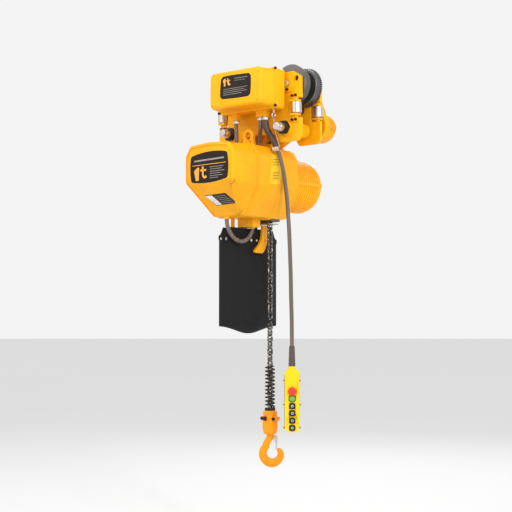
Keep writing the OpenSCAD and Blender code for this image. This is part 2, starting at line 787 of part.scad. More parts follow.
module idler_gear() {
    color("slategray") {
        difference() {
            gear_y(axis_x, idler_z, first_y, first_y + first_t, first_m, idler_teeth, 0.25,
                   -90 + 180 / idler_teeth);
            for (k = [0:4])
                translate([axis_x, 0, idler_z]) rotate([0, 72 * k, 0]) y_rod(28, 0, first_y - 1,
                    first_y + first_t + 1, 9);
        }
        y_rod(axis_x, idler_z, web_y, first_y + 2, idler_r);
        y_rod(axis_x, idler_z, first_y + 1, load_y - 2, 12.5);
        gear_y(axis_x, idler_z, load_y - 3, load_y + load_t + 2, last_m, idler_pinion, 0.35,
               -90 + 180 / idler_pinion);
        y_rod(axis_x, idler_z, load_y, -frame_y + web_t - 3, idler_r);
    }
}

module motor_shaft() {
    color("silver") {
        y_rod(axis_x, axis_z, web_y, first_y + first_t + 2, tip_shaft_r);
        gear_y(axis_x, axis_z, first_y, first_y + first_t, first_m, motor_teeth, 0.25, 90);
        y_rod(axis_x, axis_z, first_y + first_t + 1, brake_y + brake_t, motor_shaft_r);
        y_rod(axis_x, axis_z, brake_y, motor_end - 10, idler_r);
    }
}

module motor_rotor() {
    color("gray") difference() {
        union() {
            y_rod(axis_x, axis_z, stator_y, stator_y + stator_t, rotor_r);
            y_rod(axis_x, axis_z, stator_y - 8, stator_y + stator_t + 8, rotor_r - 8);
        }
        y_rod(axis_x, axis_z, stator_y - 9, stator_y + stator_t + 9, motor_shaft_r);
    }
}

module motor_stator() {
    seat = motor_r - motor_wall;
    gap = rotor_r + air_gap;
    color("peru") lathe_y(axis_x, axis_z, [[gap, stator_y], [gap + 4, stator_y - 6],
        [gap + 8, stator_y - 12], [gap + 24, stator_y - 12], [gap + 26, stator_y],
        [seat, stator_y], [seat, stator_y + stator_t], [gap + 26, stator_y + stator_t],
        [gap + 24, stator_y + stator_t + 12], [gap + 8, stator_y + stator_t + 12],
        [gap + 4, stator_y + stator_t + 6], [gap, stator_y + stator_t]]);
}

module motor_housing() {
    fins = floor((motor_l - 26) / fin_pitch);
    root = motor_r - 5;
    inner = motor_r - motor_wall;
    y_fin = motor_y + 6;
    color("orange") {
        difference() {
            union() {
                y_slab(frame_y, motor_y) body_outline(4);
                lathe_y(axis_x, axis_z, concat([[0, motor_y], [root, motor_y]],
                    [for (i = [0:fins - 1])
                        let (y = y_fin + fin_pitch * i)
                        each [[root, y], [motor_r, y + 2], [motor_r, y + fin_pitch - 5],
                              [root, y + fin_pitch - 3]]],
                    [[root, motor_end - 14], [motor_r - 9, motor_end - 9],
                     [motor_r - 24, motor_end - 3], [motor_r - 50, motor_end], [0, motor_end]]));
                block(axis_x + inner + 2, axis_x + motor_r + 2, motor_y, motor_end - 16,
                      axis_z - 7, axis_z + 7);
            }
            lathe_y(axis_x, axis_z, [[0, frame_y - 1], [inner, frame_y - 1],
                [inner, motor_end - 20], [inner - 14, motor_end - 9], [26, motor_end - 9],
                [26, motor_end - 20], [17.5, motor_end - 20], [17.5, motor_end - 9],
                [0, motor_end - 9]]);
        }
    }
}

module brake_disc() {
    color("silver") difference() {
        y_rod(axis_x, axis_z, brake_y, brake_y + brake_t, 66);
        y_rod(axis_x, axis_z, brake_y - 1, brake_y + brake_t + 1, motor_shaft_r);
    }
}
module brake_magnet() {
    y0 = brake_y + brake_t + 1;
    color("dimgray") difference() {
        y_rod(axis_x, axis_z, y0, motor_end - 22, 66);
        y_rod(axis_x, axis_z, y0 - 1, motor_end - 21, motor_shaft_r + 3);
        lathe_y(axis_x, axis_z, [[26, y0 - 1], [48, y0 - 1], [48, y0 + 14], [26, y0 + 14]]);
    }
}

module ring_y(x, z, y0, y1, r0, r1) {
    lathe_y(x, z, [[r0, y0], [r1, y0], [r1, y1], [r0, y1]]);
}
module shaft_bearings() {
    color("silver") {
        for (y = [-frame_y, frame_y - bearing_t])
            ring_y(axis_x, axis_z, y, y + bearing_t - 1, journal_r + run_gap, bearing_out);
        ring_y(axis_x, axis_z, web_y + 2, web_y + 10, tip_shaft_r + run_gap, 14);
        ring_y(axis_x, axis_z, motor_end - 20, motor_end - 10, idler_r + run_gap, 17.5);
        ring_y(axis_x, idler_z, web_y, web_y + web_t, idler_r + run_gap, idler_bush_r);
        ring_y(axis_x, idler_z, -frame_y, -frame_y + web_t - 3, idler_r + run_gap,
               idler_bush_r);
    }
}

// ---------- chain ----------

function guide_x0() = slack_x - chain_hole / 2 - 5;
function guide_x1() = chain_hole / 2 + 5;

module chain_guide() {
    half = sheave_t / 2;
    color("dimgray") difference() {
        union() {
            block(guide_x0() + 0.3, guide_x1() - 0.3, -half, half, body_floor, guide_top);
            block(guide_x0() - 4, guide_x1() + 8, -half - 6, half + 6, guide_bottom, body_floor);
            // ears and pin of the limit lever
            for (s = [-1, 1])
                block(lever_x - 6, lever_x + 6, min(s * 24.6, s * 29), max(s * 24.6, s * 29),
                      lever_z - 7, body_floor);
            y_rod(lever_x, lever_z, -26, 26, 2.5);
        }
        y_rod(axis_x, axis_z, -half - 1, half + 1, sheave_r + 1);
        for (x = [0, slack_x])
            block(x - chain_hole / 2, x + chain_hole / 2, -chain_hole / 2, chain_hole / 2,
                  guide_bottom - 1, guide_top + 1);
    }
}

module limit_switch() {
    color("gold") difference() {
        union() {
            block(-84, -8, -92, -48, body_floor - 31, body_floor);
            z_rod(last(LIMIT_LEAD)[0], last(LIMIT_LEAD)[1], last(LIMIT_LEAD)[2], body_floor - 30, 9);
        }
        block(-80, -12, -88, -52, body_floor - 27, body_floor - 4);
    }
}
module limit_lever() {
    color("silver") difference() {
        union() {
            block(lever_x, 24, -24, 24, lever_z - 2, lever_z + 2);
            y_rod(lever_x, lever_z, -24, 24, 5);
        }
        z_rod(0, 0, lever_z - 3, lever_z + 3, 17);
        y_rod(lever_x, lever_z, -25, 25, 2.5 + run_gap);
    }
}

module stored_chain() {
    row_links = 10;
    color("dimgray") for (k = [0:stored_layers - 1], n = [0:row_links - 1])
        translate([bag_x, bag_y - pitch * (row_links - 1) / 2 + pitch * n, stored_z + k * 27])
            rotate([90, (n % 2) * 90, 0]) link();
}
module sheave_chain() {
    color("dimgray") {
        for (k = [0:lift_turns])
            translate([axis_x, 0, axis_z]) rotate([0, -k * link_turn, 0])
                translate([chord_r, 0, 0]) rotate([0, 0, (k % 2 == 0) ? 90 : 0]) link();
        hanging_links(slack_x, 1, slack_links(), 1);
    }
}
// Slack links that hang free above the stored chain
function slack_links() =
    floor((axis_z - stored_z - 27 * (stored_layers - 1) - link_side - 22) / pitch);
module load_chain_upper() {
    color("dimgray") hanging_links(0, 1, lift_links, 0);
}
module load_chain_lower() {
    color("dimgray") hanging_links(0, lift_links + 1, hang_links, 0);
}

// ---------- chain bag ----------

module x_slab(x0, x1) {
    translate([x0, 0, 0]) rotate([90, 0, 90]) linear_extrude(x1 - x0) children();
}
// Flat pouch, thin at both ends, with cut top corners and a floor that falls to the middle
module bag_shape(t) {
    h = bag_l / 2 - t;
    w = bag_w / 2 - t;
    tip = 7 - t;
    z0 = bag_bottom + t;
    top = t > 0 ? [[h, bag_top + 1], [-h, bag_top + 1]]
                : [[h, bag_top - 34], [h - 38, bag_top], [38 - h, bag_top], [-h, bag_top - 34]];
    intersection() {
        translate([0, bag_y, 0]) x_slab(bag_x - bag_w, bag_x + bag_w)
            polygon(concat([[-h, z0 + 26], [-30, z0], [30, z0], [h, z0 + 26]], top));
        translate([bag_x, bag_y, bag_bottom - 5]) linear_extrude(bag_h + 10)
            polygon([[-tip, -h], [tip, -h], [w, 55 - h], [w, h - 55], [tip, h], [-tip, h],
                     [-w, h - 55], [-w, 55 - h]]);
    }
}
module x_rod(y, z, x0, x1, r) {
    translate([x0, y, z]) rotate([0, 90, 0]) cylinder(h = x1 - x0, r = r);
}
module chain_bag() {
    color("black") difference() {
        bag_shape(0);
        bag_shape(bag_wall);
        for (y = STRAPS) x_rod(y, rivet_z, bag_x - bag_w, bag_x + bag_w, 4.5);
        x_rod(finger_y, rivet_z, bag_x, bag_x + bag_w, 4.5);
    }
}
// Two straps inside the bag with their cross bolts, and the curved arm outside it
module bag_arms() {
    color("orange") {
        for (i = [0, 1]) {
            y = STRAPS[i];
            block(bag_x - 8, bag_x + 8, y - strap_t / 2, y + strap_t / 2, rivet_z - 10,
                  i == 0 ? body_floor : body_floor + 4);
            x_rod(y, rivet_z, bag_x - bag_w / 2 - 3, bag_x + bag_w / 2 + 3, 4);
        }
        x_slab(finger_x, finger_x + finger_t)
            polygon([[3, guide_bottom], [0, rivet_z + 22], [-5, rivet_z + 5], [-17, rivet_z - 14],
                     [-43, rivet_z - 38], [-44, rivet_z - 44], [-38, rivet_z - 48],
                     [0, rivet_z - 48], [8, rivet_z - 44], [20, rivet_z - 27], [28, rivet_z - 5],
                     [30, rivet_z + 22], [28, guide_bottom]]);
        x_rod(finger_y, rivet_z, finger_x - 9, finger_x + finger_t + 3, 4);
    }
}

// ---------- hook ----------

module cushion_spring() {
    per_turn = 16;
    n = spring_turns * per_turn;
    path = [for (i = [0:n]) let (a = 360 * i / per_turn)
        [spring_r * cos(a), spring_r * sin(a), spring_z + spring_pitch * i / per_turn]];
    color("black") {
        sweep(path, [for (p = path) spring_wire], [0, 0, 1], 8);
        difference() {
            z_rod(0, 0, block_top, block_top + collar_h, collar_r);
            z_rod(0, 0, block_top - 1, block_top + collar_h + 1, 14.5);
        }
    }
}

module block_solid() {
    waist = block_top - 30;
    difference() {
        union() {
            rotate_extrude() polygon([[0, block_bottom], [20, block_bottom], [25, block_bottom + 5],
                [block_r, block_bottom + 22], [block_r, waist - 12], [block_r - 3, waist],
                [block_r - 3, waist + 8], [block_r - 1, block_top - 6], [22, block_top],
                [0, block_top]]);
            for (s = [-1, 1]) y_rod(s * (block_r - 1), waist, -13, 13, 9);
        }
        // chain chamber, hook head chamber and the two necks
        block(-14, 14, -6.5, 6.5, chain_pin_z - 12, block_top + 1);
        z_rod(0, 0, block_top - 22, block_top + 1, 14.2);
        z_rod(0, 0, head_z - slip, head_z + head_h + slip, head_r + slip);
        z_rod(0, 0, block_bottom - 1, head_z, shank_r + run_gap);
        y_rod(0, chain_pin_z, -block_r - 1, block_r + 1, chain_pin_r);
        for (s = [-1, 1]) y_rod(s * (block_r - 1), waist, -14, 14, 3.2);
    }
}
module hook_block() {
    color("darkorange") for (s = [-1, 1]) intersection() {
        block_solid();
        translate([-60, s > 0 ? 0.05 : -60.05, block_bottom - 10]) cube([120, 60, block_h + 20]);
    }
}
module hook_block_bolts() {
    waist = block_top - 30;
    color("dimgray") {
        y_rod(0, chain_pin_z, -block_r, block_r, chain_pin_r);
        hex_y(0, chain_pin_z, -block_r - 4, -block_r, 9);
        for (s = [-1, 1]) {
            y_rod(s * (block_r - 1), waist, -13, 13, 3.2);
            hex_y(s * (block_r - 1), waist, -18, -13, 6.5);
            hex_y(s * (block_r - 1), waist, 13, 18, 6.5);
        }
    }
}

// Half width of the hook's section at angle a round the bowl (0 at the point side, -90 at the floor)
function hook_half(a) = a > 0 ? 8 + 4 * (30 - a) / 30 : a > -90 ? 12 - a / 15 : 18 + (a + 90) / 36;
HOOK_ARC = [for (a = [30:-15:-225])
    [bowl_x + (bowl_r + hook_half(a)) * cos(a), 0, bowl_z + (bowl_r + hook_half(a)) * sin(a)]];
HOOK_NECK = [[-14, 0, bowl_z + 37], [-6, 0, bowl_z + 49], [-1, 0, bowl_z + 58],
             [0, 0, block_bottom - 3]];
module hook() {
    path = concat([[bowl_x + (bowl_r + 10) * cos(38), 0, bowl_z + (bowl_r + 10) * sin(38)]],
                  HOOK_ARC, HOOK_NECK);
    widths = concat([4], [for (a = [30:-15:-225]) hook_half(a)], [13.5, 13, 12.5, 12]);
    color("darkorange") rotate([0, 0, hook_turn]) difference() {
        union() {
            sweep(path, widths, [0, 1, 0], 16, 0.72);
            z_rod(0, 0, block_bottom - 6, block_bottom - 0.5, 12.5);
            z_rod(0, 0, block_bottom - 6, head_z + 1, shank_r);
            z_rod(0, 0, head_z, head_z + head_h, head_r);
            block(4, latch_x, -4, 4, latch_z - 7, latch_z + 7);
            y_rod(latch_x, latch_z, -4, 4, 7);
        }
        y_rod(latch_x, latch_z, -5, 5, 2.6);
    }
}
module safety_latch() {
    color("silver") rotate([0, 0, hook_turn]) translate([latch_x, 0, latch_z])
        rotate([0, -latch_lean, 0]) {
            y_rod(0, 0, -7.5, 7.5, 2.5);
            for (s = [0, 1]) mirror([0, s, 0]) {
                y_slab(4.4, 6.2) polygon([[-7, -3], [-4, 6], [5, 6], [8.6, 0], [8.6, -latch_l],
                    [5, -latch_l], [3, -24]]);
            }
            block(7, 8.6, -6.2, 6.2, -latch_l, 2);
        }
}

// ---------- pendant ----------

module in_pendant() {
    translate([pendant_x, pendant_y, pendant_top]) rotate([0, 0, pendant_turn]) children();
}
module pendant_outline(t) {
    w = pendant_w / 2 - t;
    polygon(rounded([[-w + 9, t - pendant_l], [w - 9, t - pendant_l], [w, 18 - pendant_l],
        [w, -12], [w - 7, -t], [7 - w, -t], [-w, -12], [-w, 18 - pendant_l]], 5));
}
module pendant_shell() {
    d = pendant_d / 2;
    color("yellow") in_pendant() difference() {
        union() {
            y_slab(-d, d) pendant_outline(0);
            z_rod(0, 0, -4, 12, 15);
            for (s = [-1, 1], z = [-40, -128, -212])
                y_rod(s * (pendant_w / 2), z, -6, 6, 5);
        }
        y_slab(-d + pendant_wall, d - pendant_wall) pendant_outline(pendant_wall);
        z_rod(0, 0, -8, 13, cable_d / 2 + 0.1);
        y_rod(0, stop_z, -d - 1, 0, 8 + slip);
        y_rod(0, start_z, -d - 1, 0, 11 + slip);
        for (k = [0:3]) y_rod(0, key_z(k), -d - 1, 0, key_r + slip);
    }
}
function key_z(k) = start_z - key_pitch * (k + 1);

module button_stop() {
    d = pendant_d / 2;
    color("red") in_pendant() {
        y_rod(0, stop_z, -d - 7, -d + 11, 8);
        lathe_y(0, stop_z, [[0, -d - 16], [9, -d - 15.5], [14, -d - 13], [15.5, -d - 9],
            [15.5, -d - 6], [8, -d - 5], [0, -d - 5]]);
        y_rod(0, stop_z, -d + pendant_wall + 0.5, -d + 7, 10);
    }
}
module key(z, r, tone) {
    d = pendant_d / 2;
    color(tone) in_pendant() {
        lathe_y(0, z, [[0, -d - 6], [r - 2, -d - 6], [r, -d - 4], [r, -d + 11], [0, -d + 11]]);
        y_rod(0, z, -d + pendant_wall + 0.5, -d + 7, r + 2);
    }
}

// ---------- bolts ----------

module cap_screw(x, y, z) {
    translate([x, y, z]) rotate([90, 0, 0]) difference() {
        cylinder(h = 6, r = 5);
        translate([0, 0, 3]) cylinder(h = 4, r = 2.6, $fn = 6);
    }
}
module housing_bolts() {
    hw = box_w / 2 + 4;
    color("dimgray") {
        // control box cover
        for (s = [-1, 1], z = [box_bottom + 6, box_top - 6])
            cap_screw(box_x + s * hw, base_front - lid_t, z);
        // wheel axle bosses
        both_y() for (s = [-1, 1], p = [[-20, 17], [-20, -17], [4, -23]])
            cap_screw(s * wheel_x + p[0], -plate_out - boss_t, wheel_r + p[1]);
        // guide roller brackets
        both_y() for (s = [-1, 1], z = [roller_top + 24, roller_bottom - 24], dx = [-8, 8])
            cap_screw(s * (roller_x - 6) + dx, -plate_out - 6, z);
        // nuts of the cross shafts, outside the front and rear plates
        for (s = [-1, 1], y = [-plate_out - 25, plate_out + 11]) difference() {
            hex_y(s * shaft_x, shaft_z, y, y < 0 ? y + 14 : y + 10, 27);
            y_rod(s * shaft_x, shaft_z, y - 1, y + 15, shaft_r);
        }
        // yoke to body
        for (s = [-1, 1], y = [-26, 26])
            translate([axis_x + s * 62, y, seat_z + 13]) cylinder(h = 9, r = 9, $fn = 6);
    }
}

front_side_plate();
rear_side_plate();
cross_shafts();
wheel_axles();
suspension_yoke();
guide_roller_brackets();
trolley_gearbox();
trolley_motor_shell();
trolley_drive_shaft();
trolley_motor_rotor();
front_wheel(-wheel_x);  // wheel_front_left
front_wheel(wheel_x);  // wheel_front_right
color("dimgray") wheel(-wheel_x, false);  // wheel_rear_left
color("dimgray") wheel(wheel_x, true);  // wheel_rear_right
guide_roller(-1, -1);  // guide_roller_front_left
guide_roller(1, -1);  // guide_roller_front_right
guide_roller(-1, 1);  // guide_roller_rear_left
guide_roller(1, 1);  // guide_roller_rear_right
control_box_base();
control_box_cover();
contactors();
cable_glands();
strain_wire();
front_cover();
gear_case();
body_frame();
load_sheave();
load_gear();
idler_gear();
motor_shaft();
motor_rotor();
motor_stator();
motor_housing();
brake_disc();
brake_magnet();
shaft_bearings();
chain_guide();
limit_switch();
limit_lever();
housing_bolts();
bag_arms();
chain_bag();
stored_chain();
sheave_chain();
load_chain_upper();
load_chain_lower();
cushion_spring();
hook_block();
hook_block_bolts();
hook();
safety_latch();
pendant_shell();
button_stop();
key(start_z, 11, "green");  // button_start
key(key_z(0), key_r, "black");  // button_up
key(key_z(1), key_r, "black");  // button_down
key(key_z(2), key_r, "black");  // button_left
key(key_z(3), key_r, "black");  // button_right
color("dimgray") cable(PENDANT_ROUTE, cable_d, [1, 1, 0]);  // pendant_cable
color("dimgray") {  // lead_cables
    cable(BOX_LEAD, 13, [1, 0, 0]);
    cable(BRAKE_LEAD, 12, [1, 1, 0]);
    cable(LIMIT_LEAD, 11, [1, -1, 0]);
}
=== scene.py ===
"""Electric chain hoist on a motor trolley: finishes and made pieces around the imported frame."""
import json
import math

import bmesh
import bpy
from mathutils import Matrix, Vector
from mathutils.bvhtree import BVHTree


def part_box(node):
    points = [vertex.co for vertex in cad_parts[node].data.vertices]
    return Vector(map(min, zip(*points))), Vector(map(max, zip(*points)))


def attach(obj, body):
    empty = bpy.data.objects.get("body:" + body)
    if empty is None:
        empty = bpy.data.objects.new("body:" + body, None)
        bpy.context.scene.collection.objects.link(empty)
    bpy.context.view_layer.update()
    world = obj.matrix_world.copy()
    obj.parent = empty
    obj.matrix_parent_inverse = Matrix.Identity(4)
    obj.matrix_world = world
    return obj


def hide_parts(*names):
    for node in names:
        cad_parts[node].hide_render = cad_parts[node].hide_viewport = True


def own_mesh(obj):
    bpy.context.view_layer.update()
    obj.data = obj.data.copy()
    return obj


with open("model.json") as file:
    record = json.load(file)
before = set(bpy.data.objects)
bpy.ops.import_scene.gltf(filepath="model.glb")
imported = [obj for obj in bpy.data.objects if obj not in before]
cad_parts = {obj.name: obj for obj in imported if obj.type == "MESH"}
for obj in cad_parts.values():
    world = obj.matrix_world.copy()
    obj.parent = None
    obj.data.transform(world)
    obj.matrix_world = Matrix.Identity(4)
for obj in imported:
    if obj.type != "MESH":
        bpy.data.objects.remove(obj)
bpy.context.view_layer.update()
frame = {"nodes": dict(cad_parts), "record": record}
MM = 0.001
VIEW_ANGLE = 40                         # degrees from the front, for the camera and the pendant
ROOT = "trolley_and_hoist"
SLOT_OF = {p["node"]: p["material_slot"] for p in frame["record"]["subparts"]}


# ---------- camera ----------

def set_camera():
    """Stands to the right of the label side, a little below the hoist body, and looks slightly up."""
    around, up = math.radians(VIEW_ANGLE), math.radians(3)
    look = Vector((-math.sin(around) * math.cos(up), math.cos(around) * math.cos(up), math.sin(up)))
    lens = bpy.data.cameras.new("hoist_camera")
    lens.lens = 82
    lens.sensor_width = 36
    lens.clip_end = 50
    eye = bpy.data.objects.new("hoist_camera", lens)
    eye.location = (2.807, -3.428, -0.795)
    eye.rotation_euler = look.to_track_quat("-Z", "Y").to_euler()
    bpy.context.scene.collection.objects.link(eye)
    bpy.context.scene.camera = eye


set_camera()


# ---------- shader maths ----------

class Value:
    """A socket of a finish's node tree, for shader maths written as expressions."""

    def __init__(self, finish, socket):
        self.finish, self.socket = finish, socket

    def maths(self, operation, *others):
        inputs = dict(enumerate((self, *others)))
        return self.finish.node("ShaderNodeMath", {"operation": operation}, inputs)

    def __add__(self, other):
        return self.maths("ADD", other)

    def __mul__(self, other):
        return self.maths("MULTIPLY", other)

    def __sub__(self, other):
        return self.maths("SUBTRACT", other)

    def __rsub__(self, other):
        return self.finish.node("ShaderNodeMath", {"operation": "SUBTRACT"}, {0: other, 1: self})

    __radd__, __rmul__ = __add__, __mul__

    def clipped(self):
        return self.maths("MAXIMUM", 0.0).maths("MINIMUM", 1.0)

    def step(self, low, high):
        """0 below low, 1 above high, and smooth between them."""
        return self.finish.node("ShaderNodeMapRange", {"interpolation_type": "SMOOTHSTEP"},
                                {"Value": self, "From Min": low, "From Max": high})


class Finish:
    """A material: one principled shader, whose varying sockets are fed by expressions."""

    def __init__(self, name, colour, rough=0.5, metal=0.0, **fixed):
        self.material = bpy.data.materials.new(name)
        self.material.use_nodes = True
        self.tree = self.material.node_tree
        self.shader = self.tree.nodes["Principled BSDF"]
        self.set("Base Color", colour)
        self.set("Roughness", rough)
        self.set("Metallic", metal)
        for socket, value in fixed.items():
            self.set(socket.replace("_", " "), value)
        self.place = self.node("ShaderNodeTexCoord", out="Object")

    def set(self, socket, value):
        self.plug(self.shader.inputs[socket], value)

    def plug(self, socket, value):
        if isinstance(value, Value):
            self.tree.links.new(value.socket, socket)
        elif isinstance(value, tuple) and socket.type == "RGBA":
            socket.default_value = (*value, 1)
        else:
            socket.default_value = value

    def node(self, kind, settings=None, inputs=None, out=0):
        made = self.tree.nodes.new(kind)
        for name, value in (settings or {}).items():
            if name == "stops":
                ramp = made.color_ramp.elements
                for i, (at, colour) in enumerate(value):
                    stop = ramp[i] if i < 2 else ramp.new(at)
                    stop.position, stop.color = at, (*colour, 1)
            else:
                setattr(made, name, value)
        for name, value in (inputs or {}).items():
            self.plug(made.inputs[name], value)
        return Value(self, made.outputs[out])

    def noise(self, scale, detail=3, rough=0.55, stretch=None, seed=0.0):
        """Fractal noise from 0 to 1, with the size given as cells per metre."""
        place = self.place
        if stretch or seed:
            place = self.node("ShaderNodeMapping", {},
                              {"Vector": place, "Location": (seed, seed, seed),
                               "Scale": stretch or (1, 1, 1)})
        return self.node("ShaderNodeTexNoise", {},
                         {"Vector": place, "Scale": scale, "Detail": detail, "Roughness": rough})

    def cells(self, scale):
        return self.node("ShaderNodeTexVoronoi", {"feature": "F1"},
                         {"Vector": self.place, "Scale": scale})

    def bands(self, scale, axis, distortion=0.0):
        return self.node("ShaderNodeTexWave", {"bands_direction": axis},
                         {"Vector": self.place, "Scale": scale, "Distortion": distortion,
                          "Detail": 1.0})

    def blend(self, amount, first, second):
        """Colour first where amount is 0, and colour second where it is 1."""
        made = self.tree.nodes.new("ShaderNodeMix")
        made.data_type = "RGBA"
        self.plug(made.inputs[0], amount)
        self.plug(made.inputs[6], first)
        self.plug(made.inputs[7], second)
        return Value(self, made.outputs[2])

    def bump(self, height, strength, distance):
        """Raised and sunk relief; distance in metres for a height of 1."""
        under = [link.from_socket for link in self.tree.links
                 if link.to_socket == self.shader.inputs["Normal"]]
        inputs = {"Height": height, "Strength": strength, "Distance": distance}
        if under:
            inputs["Normal"] = Value(self, under[0])
        self.set("Normal", self.node("ShaderNodeBump", {}, inputs))


def scaled(colour, by):
    return tuple(min(1.0, c * by) for c in colour)


def enamel(name, colour, orange_peel=0.35, dust=0.25, gloss=0.32):
    """Stoved gloss paint on metal: orange peel, faint clouding, dull dust and rare tiny chips."""
    f = Finish(name, colour, gloss, Specular_IOR_Level=0.14, Coat_Weight=0.1,
               Coat_Roughness=0.08)
    cloud = f.noise(7, 4)
    speck = f.noise(160, 2, seed=3.0)
    grime = (f.noise(22, 6, 0.65, seed=9.0).step(0.5, 0.78) * dust).clipped()
    tone = f.blend(cloud.step(0.3, 0.7), scaled(colour, 0.9), scaled(colour, 1.07))
    tone = f.blend(grime, tone, scaled(colour, 0.62))
    chip = f.cells(46).step(0.055, 0.045) * f.noise(9, 2, seed=21.0).step(0.62, 0.66)
    tone = f.blend(chip, tone, (0.09, 0.075, 0.06))
    f.set("Base Color", tone)
    f.set("Roughness", (speck * 0.12 + grime * 0.3 + chip * 0.3 + (gloss - 0.06)).clipped())
    f.bump(f.noise(420, 2), orange_peel, 0.00025)
    f.bump(f.noise(55, 3, seed=5.0), 0.25, 0.0006)
    f.bump(1 - chip, 0.5, 0.0002)
    return f.material


def turned_steel(name, colour, rough=0.3, tarnish=(0.16, 0.12, 0.09), amount=0.35):
    """Bare machined steel: fine tool marks, blotchy tarnish and specks of rust."""
    f = Finish(name, colour, rough, 1.0)
    marks = f.noise(900, 3, stretch=(1, 0.08, 1))
    blotch = f.noise(38, 5, 0.65, seed=4.0).step(0.46, 0.74) * amount
    rust = f.noise(150, 4, 0.7, seed=12.0).step(0.66, 0.74) * amount
    tone = f.blend(marks.step(0.3, 0.7), scaled(colour, 0.84), scaled(colour, 1.12))
    tone = f.blend(blotch, tone, scaled(colour, 0.5))
    f.set("Base Color", f.blend(rust, tone, tarnish))
    f.set("Roughness", (marks * 0.18 + blotch * 0.4 + rust * 0.5 + (rough - 0.08)).clipped())
    f.set("Metallic", (1 - rust * 0.8).clipped())
    f.bump(marks, 0.25, 0.0001)
    f.bump(f.noise(70, 4, seed=2.0), 0.2, 0.0003)
    return f.material


def rubber(name, colour, rough=0.62, streak=0.2, grain=700):
    """Drawn or moulded rubber and vinyl: long faint streaks, pale scuffs and a fine grain."""
    f = Finish(name, colour, rough)
    run = f.noise(60, 4, stretch=(1, 1, 0.06))
    scuff = f.noise(45, 6, 0.7, seed=6.0).step(0.56, 0.72) * streak
    tone = f.blend(run.step(0.35, 0.65), scaled(colour, 0.8), scaled(colour, 1.2))
    f.set("Base Color", f.blend(scuff, tone, scaled(colour, 2.1)))
    f.set("Roughness", (run * 0.14 + scuff * 0.3 + (rough - 0.07)).clipped())
    f.bump(f.noise(grain, 2), 0.3, 0.0002)
    f.bump(run, 0.2, 0.0003)
    return f.material


def moulded(name, colour, rough=0.42, texture=520):
    """Injection-moulded plastic: fine spark-eroded texture, slight clouding and handling dirt."""
    f = Finish(name, colour, rough, Specular_IOR_Level=0.2, Coat_Weight=0.05,
               Coat_Roughness=0.3)
    dirt = f.noise(34, 6, 0.7, seed=8.0).step(0.54, 0.78) * 0.3
    tone = f.blend(f.noise(11, 3).step(0.3, 0.7), scaled(colour, 0.93), scaled(colour, 1.05))
    f.set("Base Color", f.blend(dirt, tone, scaled(colour, 0.55)))
    f.set("Roughness", (f.noise(90, 3, seed=1.0) * 0.14 + dirt * 0.4 + (rough - 0.07)).clipped())
    f.bump(f.noise(texture, 2), 0.35, 0.0002)
    return f.material


def chain_iron(name, colour, rough=0.34):
    """Hardened chain: blued black steel rubbed bright in patches, with a film of oil and rust."""
    f = Finish(name, colour, rough, 1.0, Coat_Weight=0.25, Coat_Roughness=0.25)
    bright = f.noise(130, 3).step(0.48, 0.66)
    rust = f.noise(90, 5, 0.7, seed=14.0).step(0.55, 0.7)
    tone = f.blend(bright, colour, (0.46, 0.43, 0.4))
    f.set("Base Color", f.blend(rust * 0.7, tone, (0.16, 0.07, 0.035)))
    f.set("Roughness", (rough + rust * 0.25 - bright * 0.12).clipped())
    f.bump(f.noise(260, 3), 0.35, 0.0003)
    return f.material


def canvas(name, colour):
    """Coated black canvas: plain weave, slubs, and dull grey rubbed patches."""
    f = Finish(name, colour, 0.78, Specular_IOR_Level=0.25)
    warp, weft = f.bands(190, "Y", 0.4), f.bands(190, "Z", 0.4)
    weave = warp * weft
    slub = f.noise(240, 3, stretch=(1, 1, 0.12))
    rubbed = f.noise(26, 6, 0.7, seed=3.0).step(0.52, 0.76)
    tone = f.blend(weave, scaled(colour, 0.72), scaled(colour, 1.3))
    f.set("Base Color", f.blend(rubbed * 0.35, tone, scaled(colour, 2.2)))
    f.set("Roughness", (slub * 0.12 + rubbed * 0.1 + 0.68).clipped())
    f.bump(weave, 0.55, 0.0005)
    f.bump(slub, 0.25, 0.0004)
    f.bump(f.noise(16, 4, seed=17.0), 0.3, 0.004)
    return f.material


def windings(name):
    """Varnished copper wire, wound on a slant."""
    f = Finish(name, (0.7, 0.33, 0.14), 0.38, 0.8, Coat_Weight=0.4)
    strand = f.bands(420, "DIAGONAL", 1.5)
    f.set("Base Color", f.blend(strand, (0.42, 0.16, 0.06), (0.8, 0.42, 0.2)))
    f.set("Roughness", (strand * 0.2 + 0.3).clipped())
    f.bump(strand, 0.5, 0.0005)
    return f.material


def printed(name, ground, rough=0.34):
    """Screen-printed label film."""
    f = Finish(name, ground, rough, Specular_IOR_Level=0.3)
    cloud = f.noise(30, 4)
    f.set("Base Color", f.blend(cloud.step(0.35, 0.7), scaled(ground, 0.86), scaled(ground, 1.12)))
    f.set("Roughness", (cloud * 0.16 + (rough - 0.08)).clipped())
    f.bump(f.noise(600, 2), 0.12, 0.0001)
    return f.material


